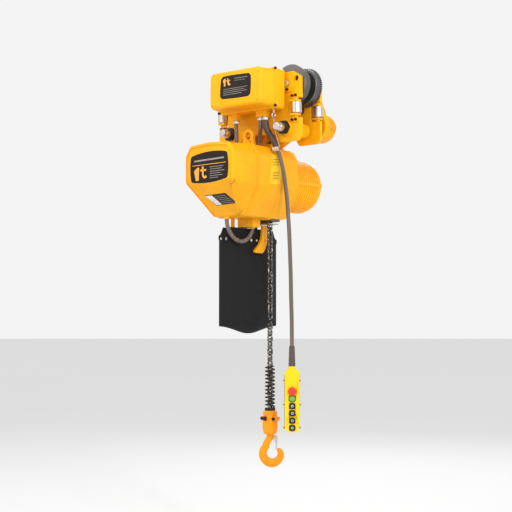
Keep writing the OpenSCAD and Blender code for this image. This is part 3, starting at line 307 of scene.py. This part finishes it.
FINISHES = {
    "cast_body": enamel("cast_enamel", (0.93, 0.40, 0.005)),
    "plates": enamel("plate_enamel", (0.96, 0.45, 0.006)),
    "bare_steel": turned_steel("bare_steel", (0.66, 0.63, 0.59)),
    "black_steel": turned_steel("blackened_steel", (0.05, 0.046, 0.044), 0.42, amount=0.5),
    "chain_steel": chain_iron("chain_steel", (0.075, 0.066, 0.06)),
    "gear_steel": turned_steel("gear_steel", (0.42, 0.41, 0.4), 0.34),
    "wheel_iron": turned_steel("wheel_iron", (0.17, 0.165, 0.16), 0.45),
    "hook_paint": enamel("hook_enamel", (0.93, 0.31, 0.008), gloss=0.28),
    "copper": windings("copper_windings"),
    "bag_canvas": canvas("bag_canvas", (0.009, 0.009, 0.0095)),
    "cable_rubber": rubber("cable_rubber", (0.15, 0.115, 0.085)),
    "pendant_plastic": moulded("pendant_plastic", (0.98, 0.66, 0.008)),
    "key_rubber": rubber("key_rubber", (0.022, 0.016, 0.012), 0.55, 0.1, 900),
    "stop_red": moulded("stop_red", (0.8, 0.055, 0.03), 0.3, 800),
    "start_green": moulded("start_green", (0.2, 0.42, 0.1), 0.35, 800),
    "electric_plastic": moulded("electric_plastic", (0.07, 0.07, 0.075), 0.45),
}
BOOT_RUBBER = rubber("boot_rubber", (0.07, 0.05, 0.038), 0.5, 0.15)
LABEL_DARK = printed("label_dark", (0.012, 0.005, 0.004))
LABEL_ORANGE = printed("label_orange", (0.95, 0.42, 0.06))
LABEL_WHITE = printed("label_white", (0.82, 0.8, 0.76))
LABEL_GREY = printed("label_grey", (0.33, 0.29, 0.25))
LABEL_GOLD = printed("label_gold", (0.98, 0.56, 0.02))
THREAD = rubber("bag_thread", (0.07, 0.07, 0.07), 0.8, 0.3, 400)


# ---------- making pieces ----------

def turns(count):
    return [2 * math.pi * k / count for k in range(count)]


def metres(points):
    return [Vector(p) * MM for p in points]


def flowing(points, steps=6):
    """A smooth curve through the points, with steps stretches between neighbours."""
    ends = [points[0] * 2 - points[1], *points, points[-1] * 2 - points[-2]]
    curve = []
    for a, b, c, d in zip(ends, ends[1:], ends[2:], ends[3:]):
        for k in range(steps):
            t = k / steps
            curve.append(0.5 * (2 * b + (c - a) * t + (2 * a - 5 * b + 4 * c - d) * t * t
                                + (3 * b - a - 3 * c + d) * t ** 3))
    return curve + [points[-1]]


def path_length(points):
    return sum((b - a).length for a, b in zip(points, points[1:]))


class Shape:
    """Gathers the tubes, turned forms and slabs of one piece in one mesh. Lengths in metres."""

    def __init__(self):
        self.mesh = bmesh.new()

    def rings(self, rings, closed=False, capped=True):
        rows = [[self.mesh.verts.new(p) for p in ring] for ring in rings]
        for low, high in zip(rows, rows[1:] + ([rows[0]] if closed else [])):
            for k in range(len(low)):
                j = (k + 1) % len(low)
                self.mesh.faces.new((low[k], low[j], high[j], high[k]))
        if capped and not closed:
            self.mesh.faces.new(rows[0][::-1])
            self.mesh.faces.new(rows[-1])
        return rows

    def tube(self, path, radius, sides=12, closed=False):
        radii = radius if isinstance(radius, list) else [radius] * len(path)
        across, rings = None, []
        for i, here in enumerate(path):
            before = path[i - 1] if i or closed else here
            after = path[(i + 1) % len(path)] if i < len(path) - 1 or closed else here
            along = (after - before).normalized()
            if across is None:
                across = along.orthogonal()
            across = (across - along * across.dot(along)).normalized()
            up = along.cross(across)
            rings.append([here + (across * math.cos(a) + up * math.sin(a)) * radii[i]
                          for a in turns(sides)])
        self.rings(rings, closed)
        return self

    def turned(self, base, axis, profile, sides=28):
        """Turned form: profile is (radius, height) along the axis from base."""
        axis = Vector(axis).normalized()
        across = axis.orthogonal().normalized()
        up = axis.cross(across)
        self.rings([[Vector(base) + axis * h + (across * math.cos(a) + up * math.sin(a)) * r
                     for a in turns(sides)] for r, h in profile])
        return self

    def slab(self, outline, thickness):
        """A flat outline of points, thickened by a vector."""
        low = [self.mesh.verts.new(p) for p in outline]
        high = [self.mesh.verts.new(Vector(p) + thickness) for p in outline]
        for k in range(len(low)):
            j = (k + 1) % len(low)
            self.mesh.faces.new((low[k], low[j], high[j], high[k]))
        self.mesh.faces.new(low[::-1])
        self.mesh.faces.new(high)
        return self

    def frame_ring(self, outer, inner, thickness):
        """A flat frame between two outlines of as many points, thickened by a vector."""
        rows = [[self.mesh.verts.new(Vector(p) + lift) for p in line]
                for line, lift in ((outer, Vector()), (outer, thickness),
                                   (inner, thickness), (inner, Vector()))]
        for low, high in zip(rows, rows[1:] + rows[:1]):
            for k in range(len(low)):
                j = (k + 1) % len(low)
                self.mesh.faces.new((low[k], low[j], high[j], high[k]))
        return self


def piece(name, shape, finish, body, sharp=38, bevel=0.0):
    """A gathered shape as an object that rides on a body; sharp is the angle kept as an edge."""
    mesh = bpy.data.meshes.new(name)
    bmesh.ops.recalc_face_normals(shape.mesh, faces=shape.mesh.faces)
    shape.mesh.to_mesh(mesh)
    shape.mesh.free()
    mesh.materials.append(finish)
    mesh.polygons.foreach_set("use_smooth", [True] * len(mesh.polygons))
    mesh.set_sharp_from_angle(angle=math.radians(sharp))
    made = bpy.data.objects.new(name, mesh)
    bpy.context.scene.collection.objects.link(made)
    if bevel:
        soften(made, bevel, 2)
    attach(made, body)
    return made


def soften(part, width, segments, limit=32):
    edge = part.modifiers.new("edges", "BEVEL")
    edge.width = width
    edge.segments = segments
    edge.limit_method = "ANGLE"
    edge.angle_limit = math.radians(limit)
    edge.use_clamp_overlap = False
    edge.harden_normals = True
    edge.miter_outer = "MITER_ARC"


# ---------- cords ----------

CORD_THICK = 0.015


def lead(name, route, node):
    """A round cable along its route, going into the object at both ends."""
    points = flowing(metres(route))
    curve = bpy.data.curves.new(name, "CURVE")
    curve.dimensions = "3D"
    curve.bevel_depth = CORD_THICK / 2
    curve.bevel_resolution = 6
    curve.use_fill_caps = True
    line = curve.splines.new("POLY")
    line.points.add(len(points) - 1)
    for point, place in zip(line.points, points):
        point.co = (*place, 1)
    line.use_smooth = True
    curve.materials.append(FINISHES["cable_rubber"])
    made = bpy.data.objects.new(name, curve)
    bpy.context.scene.collection.objects.link(made)
    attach(made, ROOT)
    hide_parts(node)
    tuple(points[0])
    path_length(points)
    return points


PENDANT_ROUTE = [(66, -107.5, -55), (66, -107.5, -68), (66.5, -107.5, -80), (69, -106, -93),
                 (75, -102, -107), (83, -97, -123), (92, -91, -143), (101, -85, -165),
                 (109, -79, -191), (116, -74, -222), (122, -69, -260), (126, -64, -304),
                 (130, -59, -355), (132, -55, -415), (134, -51, -485), (135, -48, -560),
                 (136, -45, -640), (136, -43, -720), (137, -41, -800), (137, -40, -870),
                 (137, -40, -930), (137, -40, -985)]
BOX_ROUTE = [(-77, -107.5, -55), (-77, -107.5, -72), (-76, -108, -90), (-75, -109, -108),
             (-75, -109, -122), (-77, -108, -136), (-77, -108, -150)]
BRAKE_ROUTE = [(42, -107.5, -55), (42, -107.5, -68), (40, -104, -82), (34, -97, -95),
               (24, -88, -107), (12, -79, -121), (6, -75, -136), (6, -75, -150)]
LIMIT_ROUTE = [(-38, -205, -433), (-38, -205, -443), (-38, -202, -457), (-38, -195, -471),
               (-38, -184, -485), (-38, -169, -498), (-38, -150, -508), (-38, -128, -512),
               (-38, -107, -509), (-38, -88, -500), (-38, -73, -487), (-38, -64, -475),
               (-38, -60, -468), (-38, -60, -461)]

pendant_line = lead("pendant_lead", PENDANT_ROUTE, "pendant_cable")
lead("box_lead", BOX_ROUTE, "lead_cables")
lead("brake_lead", BRAKE_ROUTE, "lead_cables")
lead("limit_lead", LIMIT_ROUTE, "lead_cables")


# ---------- finishes of the frame's parts ----------

EDGES = {  # rounding of a part's edges in mm, and its steps
    "gear_case": (2.5, 3), "body_frame": (2, 2), "motor_housing": (1.2, 2),
    "front_side_plate": (1.0, 2), "rear_side_plate": (1.0, 2), "suspension_yoke": (2.5, 3),
    "control_box_base": (1.6, 3), "control_box_cover": (3, 3), "hook_block": (1.2, 2),
    "trolley_motor_shell": (1.2, 2), "trolley_gearbox": (1.2, 2), "pendant_shell": (2.2, 3),
    "guide_roller_brackets": (0.8, 2), "bag_arms": (1.0, 2), "limit_switch": (0.8, 2),
    "cable_glands": (0.6, 2), "cross_shafts": (0.6, 2), "wheel_axles": (0.8, 2),
    "safety_latch": (0.35, 2), "chain_guide": (0.8, 2), "hook_block_bolts": (0.5, 2),
    "housing_bolts": (0.5, 2), "wheel_front_left": (0.8, 2), "wheel_front_right": (0.8, 2),
    "wheel_rear_left": (0.6, 2), "wheel_rear_right": (0.8, 2), "limit_lever": (0.4, 2),
    "guide_roller_front_left": (0.8, 2), "guide_roller_front_right": (0.8, 2),
    "guide_roller_rear_left": (0.8, 2), "guide_roller_rear_right": (0.8, 2),
    "button_stop": (0.6, 2), "button_start": (0.8, 2), "button_up": (0.9, 3),
    "button_down": (0.9, 3), "button_left": (0.9, 3), "button_right": (0.9, 3),
}
FORGED = ("hook",)                      # rounded all over, so divided and smoothed


def merged(part):
    """Joins the faces at their edges and drops the imported normals."""
    normals = part.data.attributes.get("custom_normal")
    if normals:
        part.data.attributes.remove(normals)
    part.data.polygons.foreach_set("use_smooth", [True] * len(part.data.polygons))
    part.modifiers.new("join", "WELD").merge_threshold = 0.00002


for node, part in frame["nodes"].items():
    part.data.materials.clear()
    part.data.materials.append(FINISHES[SLOT_OF[node]])
    if node in FORGED:
        merged(part)
        part.modifiers.new("smooth", "SUBSURF").render_levels = 1
    elif node in EDGES:
        width, steps = EDGES[node]
        merged(part)
        soften(part, width * MM, steps)
        part.modifiers.new("flat", "WEIGHTED_NORMAL").keep_sharp = True


# ---------- front cover ----------

def front_cover():
    """The cast cover as a thin shell, with the broad soft edges of its faces."""
    low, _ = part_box("front_cover")
    boss_drop = 0.008                       # how far the lead's boss hangs below the cover
    shell = Shape()
    corners = {tuple(round(c, 5) for c in v.co)
               for v in frame["nodes"]["front_cover"].data.vertices
               if v.co.z > low.z + boss_drop - 0.0005}
    points = [shell.mesh.verts.new(c) for c in sorted(corners)]
    hull = bmesh.ops.convex_hull(shell.mesh, input=points)
    inside = {*hull["geom_interior"], *hull["geom_unused"]}
    bmesh.ops.delete(shell.mesh, geom=[g for g in inside if isinstance(g, bmesh.types.BMVert)],
                     context="VERTS")
    bmesh.ops.dissolve_limit(shell.mesh, angle_limit=math.radians(1.5), verts=shell.mesh.verts,
                             edges=shell.mesh.edges)
    shell.mesh.normal_update()
    rear = [f for f in shell.mesh.faces if f.normal.y > 0.98]
    bmesh.ops.delete(shell.mesh, geom=rear, context="FACES")
    made = piece("cover_shell", shell, FINISHES["cast_body"], ROOT, 180)
    soften(made, 0.0075, 5, 14)
    wall = made.modifiers.new("wall", "SOLIDIFY")
    wall.thickness = 0.004
    made.modifiers.new("flat", "WEIGHTED_NORMAL").keep_sharp = True
    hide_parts("front_cover")

    at = Vector(LIMIT_ROUTE[0]) * MM
    boss = Shape().turned(at, (0, 0, 1), [(0.0079, 0), (0.0104, 0), (0.011, 0.0006),
                                          (0.011, 0.012), (0.0079, 0.012)])
    base = piece("lead_boss", boss, FINISHES["cast_body"], ROOT)
    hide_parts("front_cover")
    return made


cover = front_cover()


# ---------- upper load chain ------------------

PITCH = 0.024                           # from one link of the load chain to the next
LINK_BEND = 0.0088                      # radius of a link's round end, along its wire
LINK_STRAIGHT = 0.0072                  # half of the straight stretch between the round ends
LINK_WIRE = 0.00385
LINK_REACH = 0.01985                    # from a link's middle to its tip


def link_ring(shape, centre, sideways):
    """One welded link, standing along Z."""
    side = Vector((0, 1, 0)) if sideways else Vector((1, 0, 0))
    arc = [math.radians(a) for a in range(0, 181, 15)]
    ring = [side * math.cos(a) * LINK_BEND
            + Vector((0, 0, LINK_STRAIGHT + LINK_BEND * math.sin(a))) for a in arc]
    ring += [-p for p in ring]
    shape.tube([centre + p for p in ring], LINK_WIRE, 12, closed=True)


def upper_chain():
    """The chain between the hoist and the cushion spring, as a fixed row of links at its present
    length.
    """
    low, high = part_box("load_chain_upper")
    top, bottom = high.z - LINK_REACH, low.z + LINK_REACH
    links = Shape()
    for n in range(round((top - bottom) / PITCH) + 1):
        link_ring(links, Vector((0, 0, top - PITCH * n)), n % 2 == 1)
    made = piece("upper_chain_links", links, FINISHES["chain_steel"], ROOT, 80)
    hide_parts("load_chain_upper")
    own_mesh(made)


upper_chain()


# ---------- chain bag ----------

def eased(value):
    t = min(1.0, max(0.0, value))
    return t * t * (3 - 2 * t)


class Pouch:
    """Flat canvas pouch for the slack chain: two panels sewn together at the ends and below."""
    rivet_drop = 0.044                  # from the top of the pouch down to its rivets

    def __init__(self):
        self.low, self.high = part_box("chain_bag")
        self.mid = (self.low + self.high) / 2
        self.half = (self.high - self.low) / 2

    def rim(self, y):
        return self.high.z - 0.034 * eased((abs(y) - self.half.y + 0.04) / 0.04)

    def floor(self, y):
        return self.low.z + 0.027 * eased((abs(y) - 0.012) / (self.half.y - 0.012)) ** 0.8

    def fold(self, y, z, side):
        """Creases that run down from the rivets, and the dents of the chain below."""
        depth = 0.0
        for hang in (-0.0905, -0.15, 0.0865, 0.03):
            across, down = y - hang, self.high.z - self.rivet_drop - z
            far = math.hypot(across, down) + 0.001
            if down > 0:
                fan = math.sin(math.atan2(across, down) * 9 + side * 1.3 + hang * 40)
                depth += 0.0016 * fan * math.exp(-far / 0.11) * eased(far / 0.03)
        lumps = math.sin(y * 71 + side) * math.sin(z * 83 + 2 * side)
        low = eased((self.low.z + 0.16 - z) / 0.1)
        return depth + 0.0012 * lumps * low + 0.0009 * math.sin(y * 31 + z * 17 + side * 2)

    def point(self, y, down, side, proud=0.0):
        """Point on a panel: y from the middle, down from 0 at the rim to 1 at the floor."""
        z = self.rim(y) + (self.floor(y) - self.rim(y)) * down
        body = 1 - eased((abs(y) - (self.half.y - 0.062)) / 0.056)
        full = 0.9 + 0.1 * eased(down / 0.7) - 0.05 * math.cos(down * 5)
        closing = math.sqrt(max(0.0, 1 - max(0.0, (down - 0.86) / 0.14) ** 2))
        half = 0.0032 + (self.half.x - 0.0042) * body * full * closing
        crease = self.fold(y, z, side) * body * min(1.0, closing * 2) * eased(down / 0.06)
        x = self.mid.x + side * (min(self.half.x, half + crease - 0.001) + proud)
        return Vector((x, self.mid.y + y, z))

    def at(self, y, z):
        """How far down its panel a height is."""
        return (self.rim(y) - z) / (self.rim(y) - self.floor(y))

    def panels(self, downs, proud=0.0, steps=56):
        ys = [self.half.y * (2 * k / steps - 1) for k in range(steps + 1)]
        return [[self.point(y, d, 1, proud) for y in ys]
                + [self.point(y, d, -1, proud) for y in reversed(ys)] for d in downs]


def chain_bag():
    pouch = Pouch()
    skin = Shape()
    rows = skin.rings(pouch.panels([k / 44 for k in range(45)]), capped=False)
    last = rows[-1]
    for k in range(len(last) // 2 - 1):
        skin.mesh.faces.new((last[k], last[k + 1], last[-2 - k], last[-1 - k]))
    made = piece("canvas_pouch", skin, FINISHES["bag_canvas"], ROOT, 180)
    cloth = made.modifiers.new("cloth", "SOLIDIFY")
    cloth.thickness = 0.0016
    made.modifiers.new("divide", "SUBSURF").render_levels = 1
    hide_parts("chain_bag")

    hem = Shape()
    hem.rings(pouch.panels([0.0, 0.004, 0.03, 0.044], 0.0011), capped=False)
    band = piece("pouch_hem", hem, FINISHES["bag_canvas"], ROOT, 180)
    band.modifiers.new("cloth", "SOLIDIFY").thickness = 0.0013

    thread = Shape()
    across, upright = 46, 52            # stitches in each seam
    for side in (1, -1):
        for down in (0.009, 0.038):
            for k in range(across):
                y = pouch.half.y * 0.97 * (2 * (k + 0.5) / across - 1)
                thread.tube([pouch.point(y + s, down, side, 0.0013) for s in (-0.0022, 0.0022)],
                            0.00045, 5)
        for end in (-1, 1):
            for k in range(upright):
                down = (k + 0.5) / upright
                thread.tube([pouch.point(end * (pouch.half.y - 0.009), down + s, side, 0.0003)
                             for s in (-0.006, 0.006)], 0.00045, 5)
    piece("pouch_stitches", thread, THREAD, ROOT)

    rivets = Shape()
    for side in (1, -1):
        for y in (-0.16, -0.138, -0.006, 0.026, 0.12):
            seat = pouch.point(y, pouch.at(y, pouch.high.z - pouch.rivet_drop), side)
            rivets.turned(seat, (side, 0, 0), [(0.0062, -0.001), (0.0062, 0.0006), (0.0046, 0.0009),
                                               (0.0038, 0.0022), (0.002, 0.0029), (0.0002, 0.003)])
    piece("pouch_rivets", rivets, FINISHES["bare_steel"], ROOT)


chain_bag()


# ---------- boots, clamp and pendant details ----------

def along(points, z_top, z_bottom):
    return [p for p in points if z_bottom * MM <= p.z <= z_top * MM]


def boot(name, points, wide, narrow, rib):
    """Ribbed rubber boot that tapers along a cable."""
    dense = flowing(points, 5)
    total, travelled, radii = path_length(dense), 0.0, []
    for before, here in zip([dense[0], *dense], dense):
        travelled += (here - before).length
        t = travelled / total
        bulge = rib * (1 if math.sin(travelled / 0.0095 * 2 * math.pi) > 0 else 0)
        lip = 0.0008 if t > 0.96 else 0.0
        radii.append((wide + (narrow - wide) * t + bulge * (0.06 < t < 0.93) + lip) * MM)
    piece(name, Shape().tube(dense, radii, 24), BOOT_RUBBER, ROOT, 60)


boot("gland_boot", along(pendant_line, -64, -168), 12.4, 9.2, 1.3)
boot("pendant_boot", along(pendant_line, -892, -977)[::-1], 12.5, 9.6, 0.8)


def wire_clamp():
    """Saddle clamp with two bolts that holds the strain wire to the cable."""
    at = min(pendant_line, key=lambda p: abs(p.z + 0.172))
    grip = Shape()
    for lift in (-0.006, 0.006):
        ring = [at + Vector((0.0092 * math.cos(a), 0.0092 * math.sin(a), lift)) for a in turns(28)]
        grip.tube(ring, 0.0016, 8, closed=True)
    for side in (-1, 1):
        base = at + Vector((side * 0.009, -0.0125, 0))
        grip.turned(base, (0, -1, 0), [(0.0042, -0.002), (0.0042, 0.0024), (0.0034, 0.003),
                                       (0.0018, 0.003), (0.0018, 0.0055), (0.0014, 0.006)], 6)
    plate = [at + Vector((x, -0.0105, z)) for x, z in
             ((-0.014, -0.008), (0.014, -0.008), (0.014, 0.008), (-0.014, 0.008))]
    grip.slab(plate, Vector((0, -0.0022, 0)))
    piece("strain_clamp", grip, FINISHES["bare_steel"], ROOT, bevel=0.0003)


wire_clamp()

PENDANT = Matrix.Translation((0.137, -0.04, -0.988)) @ Matrix.Rotation(math.radians(VIEW_ANGLE), 4, "Z")
FACE_Y = -0.022                         # front face of the pendant's case, in its own frame
KEY_TOP = -0.105                        # height of the start button, and then each key below it
KEY_STEP = 0.0266


def on_pendant(x, y, z):
    return PENDANT @ Vector((x, y, z))


def circle_on_pendant(radius, y, height, count=48):
    return [on_pendant(radius * math.cos(a), y, height + radius * math.sin(a))
            for a in turns(count)]


def rounded_square(half_x, half_z, corner, count=48):
    outline = []
    for a in turns(count):
        c, s = math.cos(a), math.sin(a)
        x = math.copysign(abs(c) ** corner, c) * half_x
        z = math.copysign(abs(s) ** corner, s) * half_z
        outline.append((x, z))
    return outline


def pendant_details():
    """Collars round the keys, their ring marks, the case's screws and its seam."""
    proud = PENDANT.to_3x3() @ Vector((0, -1, 0))
    keys = {name: KEY_TOP - KEY_STEP * k
            for k, name in enumerate(("up", "down", "left", "right"), 1)}
    collars = Shape()

    def collar(height, half_x, half_z, corner, hole, stands):
        seat = FACE_Y - 0.0001
        rim = [on_pendant(x, seat, height + z)
               for x, z in rounded_square(half_x, half_z, corner)]
        collars.frame_ring(rim, circle_on_pendant(hole, seat, height), proud * stands)

    for height in keys.values():
        collar(height, 0.0118, 0.0115, 0.55, 0.0098, 0.0028)
    collar(KEY_TOP, 0.0134, 0.0132, 0.7, 0.0113, 0.0009)    # low, so that the stop button clears it
    piece("key_collars", collars, FINISHES["key_rubber"], ROOT, 50, bevel=0.0005)

    for name, height in keys.items():
        rings = [circle_on_pendant(r, FACE_Y - 0.006, height, 32) for r in (0.0044, 0.0031)]
        mark = Shape().frame_ring(*rings, proud * 0.00025)
        piece("key_mark_" + name, mark, LABEL_WHITE, name + "_body")

    screws = Shape()
    for side in (-1, 1):
        for z in (-0.04, -0.128, -0.212):
            base = on_pendant(side * 0.0292, -0.006, z)
            screws.turned(base, proud, [(0.0026, -0.001), (0.0026, 0.0008), (0.0021, 0.0012),
                                        (0.0012, 0.0012), (0.0009, 0.0004)], 20)
    piece("pendant_screws", screws, FINISHES["black_steel"], ROOT)

    seam = Shape()
    for side in (1, -1):
        lip = [on_pendant(0.0276 * side, -0.0008, z) for z in (-0.02, -0.06, -0.12, -0.18, -0.208)]
        seam.tube(lip, 0.0006, 6)
    piece("pendant_seam", seam, FINISHES["key_rubber"], ROOT)


pendant_details()


# ---------- labels ----------

def cast_target(part):
    """What a label is laid on: the part's surface as it is shown, with its rounded edges."""
    shown = part.evaluated_get(bpy.context.evaluated_depsgraph_get())
    mesh = shown.to_mesh()
    corners = [v.co.copy() for v in mesh.vertices]
    faces = [tuple(p.vertices) for p in mesh.polygons]
    shown.to_mesh_clear()
    return BVHTree.FromPolygons(corners, faces)


def laid(tree, flat, toward, lift):
    """Flat points moved along toward until they lie on the surface, lifted off it a little."""
    toward = Vector(toward)
    placed = []
    for point in flat:
        hit, normal, _, _ = tree.ray_cast(Vector(point) * MM, toward)
        if hit is None:
            hit, normal = tree.find_nearest(Vector(point) * MM)[:2]
        placed.append(hit - toward * lift * MM)
    return placed


def bulged(corners, bulges, round_by=3.0, count=12):
    """Closed outline through the corners: each side bows out by its bulge, corners are cut."""
    outline = []
    middle = sum((Vector((*c, 0)) for c in corners), Vector()) / len(corners)
    for a, b, bulge in zip(corners, corners[1:] + corners[:1], bulges):
        a, b = Vector((*a, 0)), Vector((*b, 0))
        side = b - a
        out = Vector((side.y, -side.x, 0)).normalized()
        if out.dot((a + b) / 2 - middle) < 0:
            out = -out
        trim = min(0.3, round_by / side.length)
        for k in range(count + 1):
            t = trim + (1 - 2 * trim) * k / count
            at = a + side * t + out * bulge * (1 - (2 * t - 1) ** 2)
            outline.append((at.x, at.y))
    return outline


def print_on(name, tree, outlines, place, toward, lift, finish):
    """Printed areas as thin films; place turns an outline's two numbers into a point in mm."""
    film = Shape()
    for outline in outlines:
        if len(outline) < 20:
            face = laid(tree, [place(*p) for p in outline], toward, lift)
            film.slab(face, -Vector(toward) * 0.00018)
            continue
        mid = Vector((sum(p[0] for p in outline), sum(p[1] for p in outline))) / len(outline)
        rings = []
        for k in range(13):
            shrunk = [mid + (Vector(p) - mid) * (1 - k / 12.2) for p in outline]
            rings.append(laid(tree, [place(*p) for p in shrunk], toward, lift))
        film.rings([[p + Vector(toward) * 0.0002 for p in rings[0]], *rings])
    bmesh.ops.triangulate(film.mesh, faces=[f for f in film.mesh.faces if len(f.verts) > 4])
    piece(name, film, finish, ROOT, 60)


def bar(x0, z0, x1, z1, thick):
    """A printed line from one point to another."""
    a, b = Vector((x0, z0)), Vector((x1, z1))
    side = (b - a).normalized() * thick / 2
    side = Vector((-side.y, side.x))
    return [tuple(a + side), tuple(b + side), tuple(b - side), tuple(a - side)]


def stroke(points, thick):
    """Outline of a printed line that bends through the points."""
    ends = [Vector(p) for p in points]
    left, right = [], []
    for i, here in enumerate(ends):
        way = (ends[min(i + 1, len(ends) - 1)] - ends[max(i - 1, 0)]).normalized()
        side = Vector((-way.y, way.x)) * thick / 2
        left.append(tuple(here + side))
        right.append(tuple(here - side))
    return left + right[::-1]


def body_labels():
    tree = cast_target(cover)

    def front(x, z):
        return (x, -420, z)

    y_way = (0, 1, 0)
    plate = [(-116, -208), (60, -201), (62, -296), (-114, -303)]
    print_on("front_label", tree, [bulged(plate, (10, 6, 8, 4), 5)], front, y_way, 0.5,
             LABEL_DARK)
    one = [(-100, -262), (-84, -250), (-74, -250), (-77, -298), (-91, -298), (-88, -267),
           (-98, -268)]
    tee = stroke([(-57, -247), (-56, -276), (-53, -285), (-46, -288), (-39, -283)], 8.5)
    rule = bar(-108, -242, 56, -240, 2.2)
    print_on("front_label_orange", tree, [one, tee, bar(-69, -261, -61.6, -261, 7),
             bar(-52.4, -261, -40, -261, 7), rule], front, y_way, 0.75, LABEL_ORANGE)
    band = [bar(-100, -226, 46, -222, 6)]
    lines = [bar(-22, z, -22 + width, z + 1, 2.0) for z, width in
             ((-252, 66), (-260, 58), (-268, 70), (-276, 50), (-284, 62), (-292, 40))]
    print_on("front_label_grey", tree, band + lines, front, y_way, 0.75, LABEL_GREY)

    lower = [(-83, -349), (21, -346), (50, -382), (-51, -386)]
    print_on("lower_label", tree, [bulged(lower, (0, 0, 0, 0), 2)], front, y_way, 0.5, LABEL_DARK)
    white = [(-80, -351), (-48, -350.4), (-22, -383.5), (-50, -384)]
    print_on("lower_label_white", tree, [white], front, y_way, 0.8, LABEL_WHITE)
    rows = [bar(-38 + 5 * k, -355 - 6 * k, 16 + 6 * k, -354 - 6 * k, 1.3) for k in range(5)]
    print_on("lower_label_lines", tree, rows, front, y_way, 0.8, LABEL_GREY)

    tree = cast_target(frame["nodes"]["control_box_cover"])
    plate = [(-62, 99), (82, 96), (79, 12), (-68, 16)]
    print_on("box_label", tree, [bulged(plate, (2, 2, 2, 2), 9)], front, y_way, 0.25, LABEL_DARK)
    one = [(-54, 83), (-46, 90), (-40, 90), (-41, 62), (-49, 62), (-48, 80), (-53, 79)]
    tee = stroke([(-29, 90), (-28.5, 73), (-27, 67), (-22, 64.5), (-17, 67)], 5.4)
    print_on("box_label_orange", tree, [one, tee, bar(-37, 81, -32, 81, 4.2),
             bar(-26, 81, -18, 81, 4.2)], front, y_way, 0.45, LABEL_ORANGE)
    lines = [bar(-52, z, -52 + width, z, 1.6) for z, width in
             ((50, 118), (43, 104), (36, 116), (29, 90))] + [bar(2, 86, 66, 85, 2.0),
                                                             bar(2, 78, 54, 77, 1.4)]
    print_on("box_label_grey", tree, lines, front, y_way, 0.45, LABEL_GREY)

    tree = cast_target(frame["nodes"]["gear_case"])

    def side(y, z):
        return (200, y, z)

    x_way = (-1, 0, 0)
    plate = [(-106, -191), (-42, -184), (-58, -301), (-118, -304)]
    print_on("side_plate", tree, [bulged(plate, (0, 0, 0, 0), 2)], side, x_way, 0.3, LABEL_GOLD)
    lines = [bar(-100, z, -62, z + 3, 1.5) for z in (-212, -222, -232, -262, -272, -282)]
    print_on("side_plate_lines", tree, lines, side, x_way, 0.5, LABEL_DARK)


body_labels()


# ---------- stage ----------

FLOOR_Z = -1.72


def stage_and_lights():
    """A pale floor, an even white surround and four soft lamps aimed at the hoist."""
    floor = Shape()
    floor.rings([[Vector((r * math.cos(a), r * math.sin(a), FLOOR_Z)) for a in turns(96)]
                 for r in (0.01, 10, 60)], capped=False)
    mesh = bpy.data.meshes.new("studio_floor")
    floor.mesh.to_mesh(mesh)
    floor.mesh.free()
    pale = Finish("studio_floor", (0.8, 0.8, 0.8), 0.95, Specular_IOR_Level=0.0)
    pale.set("Base Color", pale.blend(pale.noise(0.8), (0.79, 0.79, 0.79), (0.81, 0.81, 0.81)))
    mesh.materials.append(pale.material)
    ground = bpy.data.objects.new("studio_floor", mesh)
    bpy.context.scene.collection.objects.link(ground)

    world = bpy.data.worlds.new("studio")
    world.use_nodes = True
    sky = world.node_tree.nodes["Background"]
    sky.inputs["Color"].default_value = (1.0, 1.0, 1.0, 1)
    sky.inputs["Strength"].default_value = 0.9
    bpy.context.scene.world = world
    for name, place, wide, tall, power in (("key", (-0.9, -3.2, 1.7), 1.2, 1.2, 48),
                                           ("strip", (2.6, -1.5, 0.4), 0.14, 1.8, 30),
                                           ("fill", (3.4, -0.6, 1.2), 1.6, 1.6, 22),
                                           ("rim", (-1.5, 3.2, 1.5), 1.6, 1.6, 35)):
        lamp = bpy.data.lights.new(name, "AREA")
        lamp.shape = "RECTANGLE"
        lamp.size = wide
        lamp.size_y = tall
        lamp.energy = power
        stand = bpy.data.objects.new(name, lamp)
        stand.location = place
        aim = Vector((0, 0, -0.4)) - Vector(place)
        stand.rotation_euler = aim.to_track_quat("-Z", "Y").to_euler()
        bpy.context.scene.collection.objects.link(stand)
    bpy.context.scene.view_settings.view_transform = "Standard"


stage_and_lights()
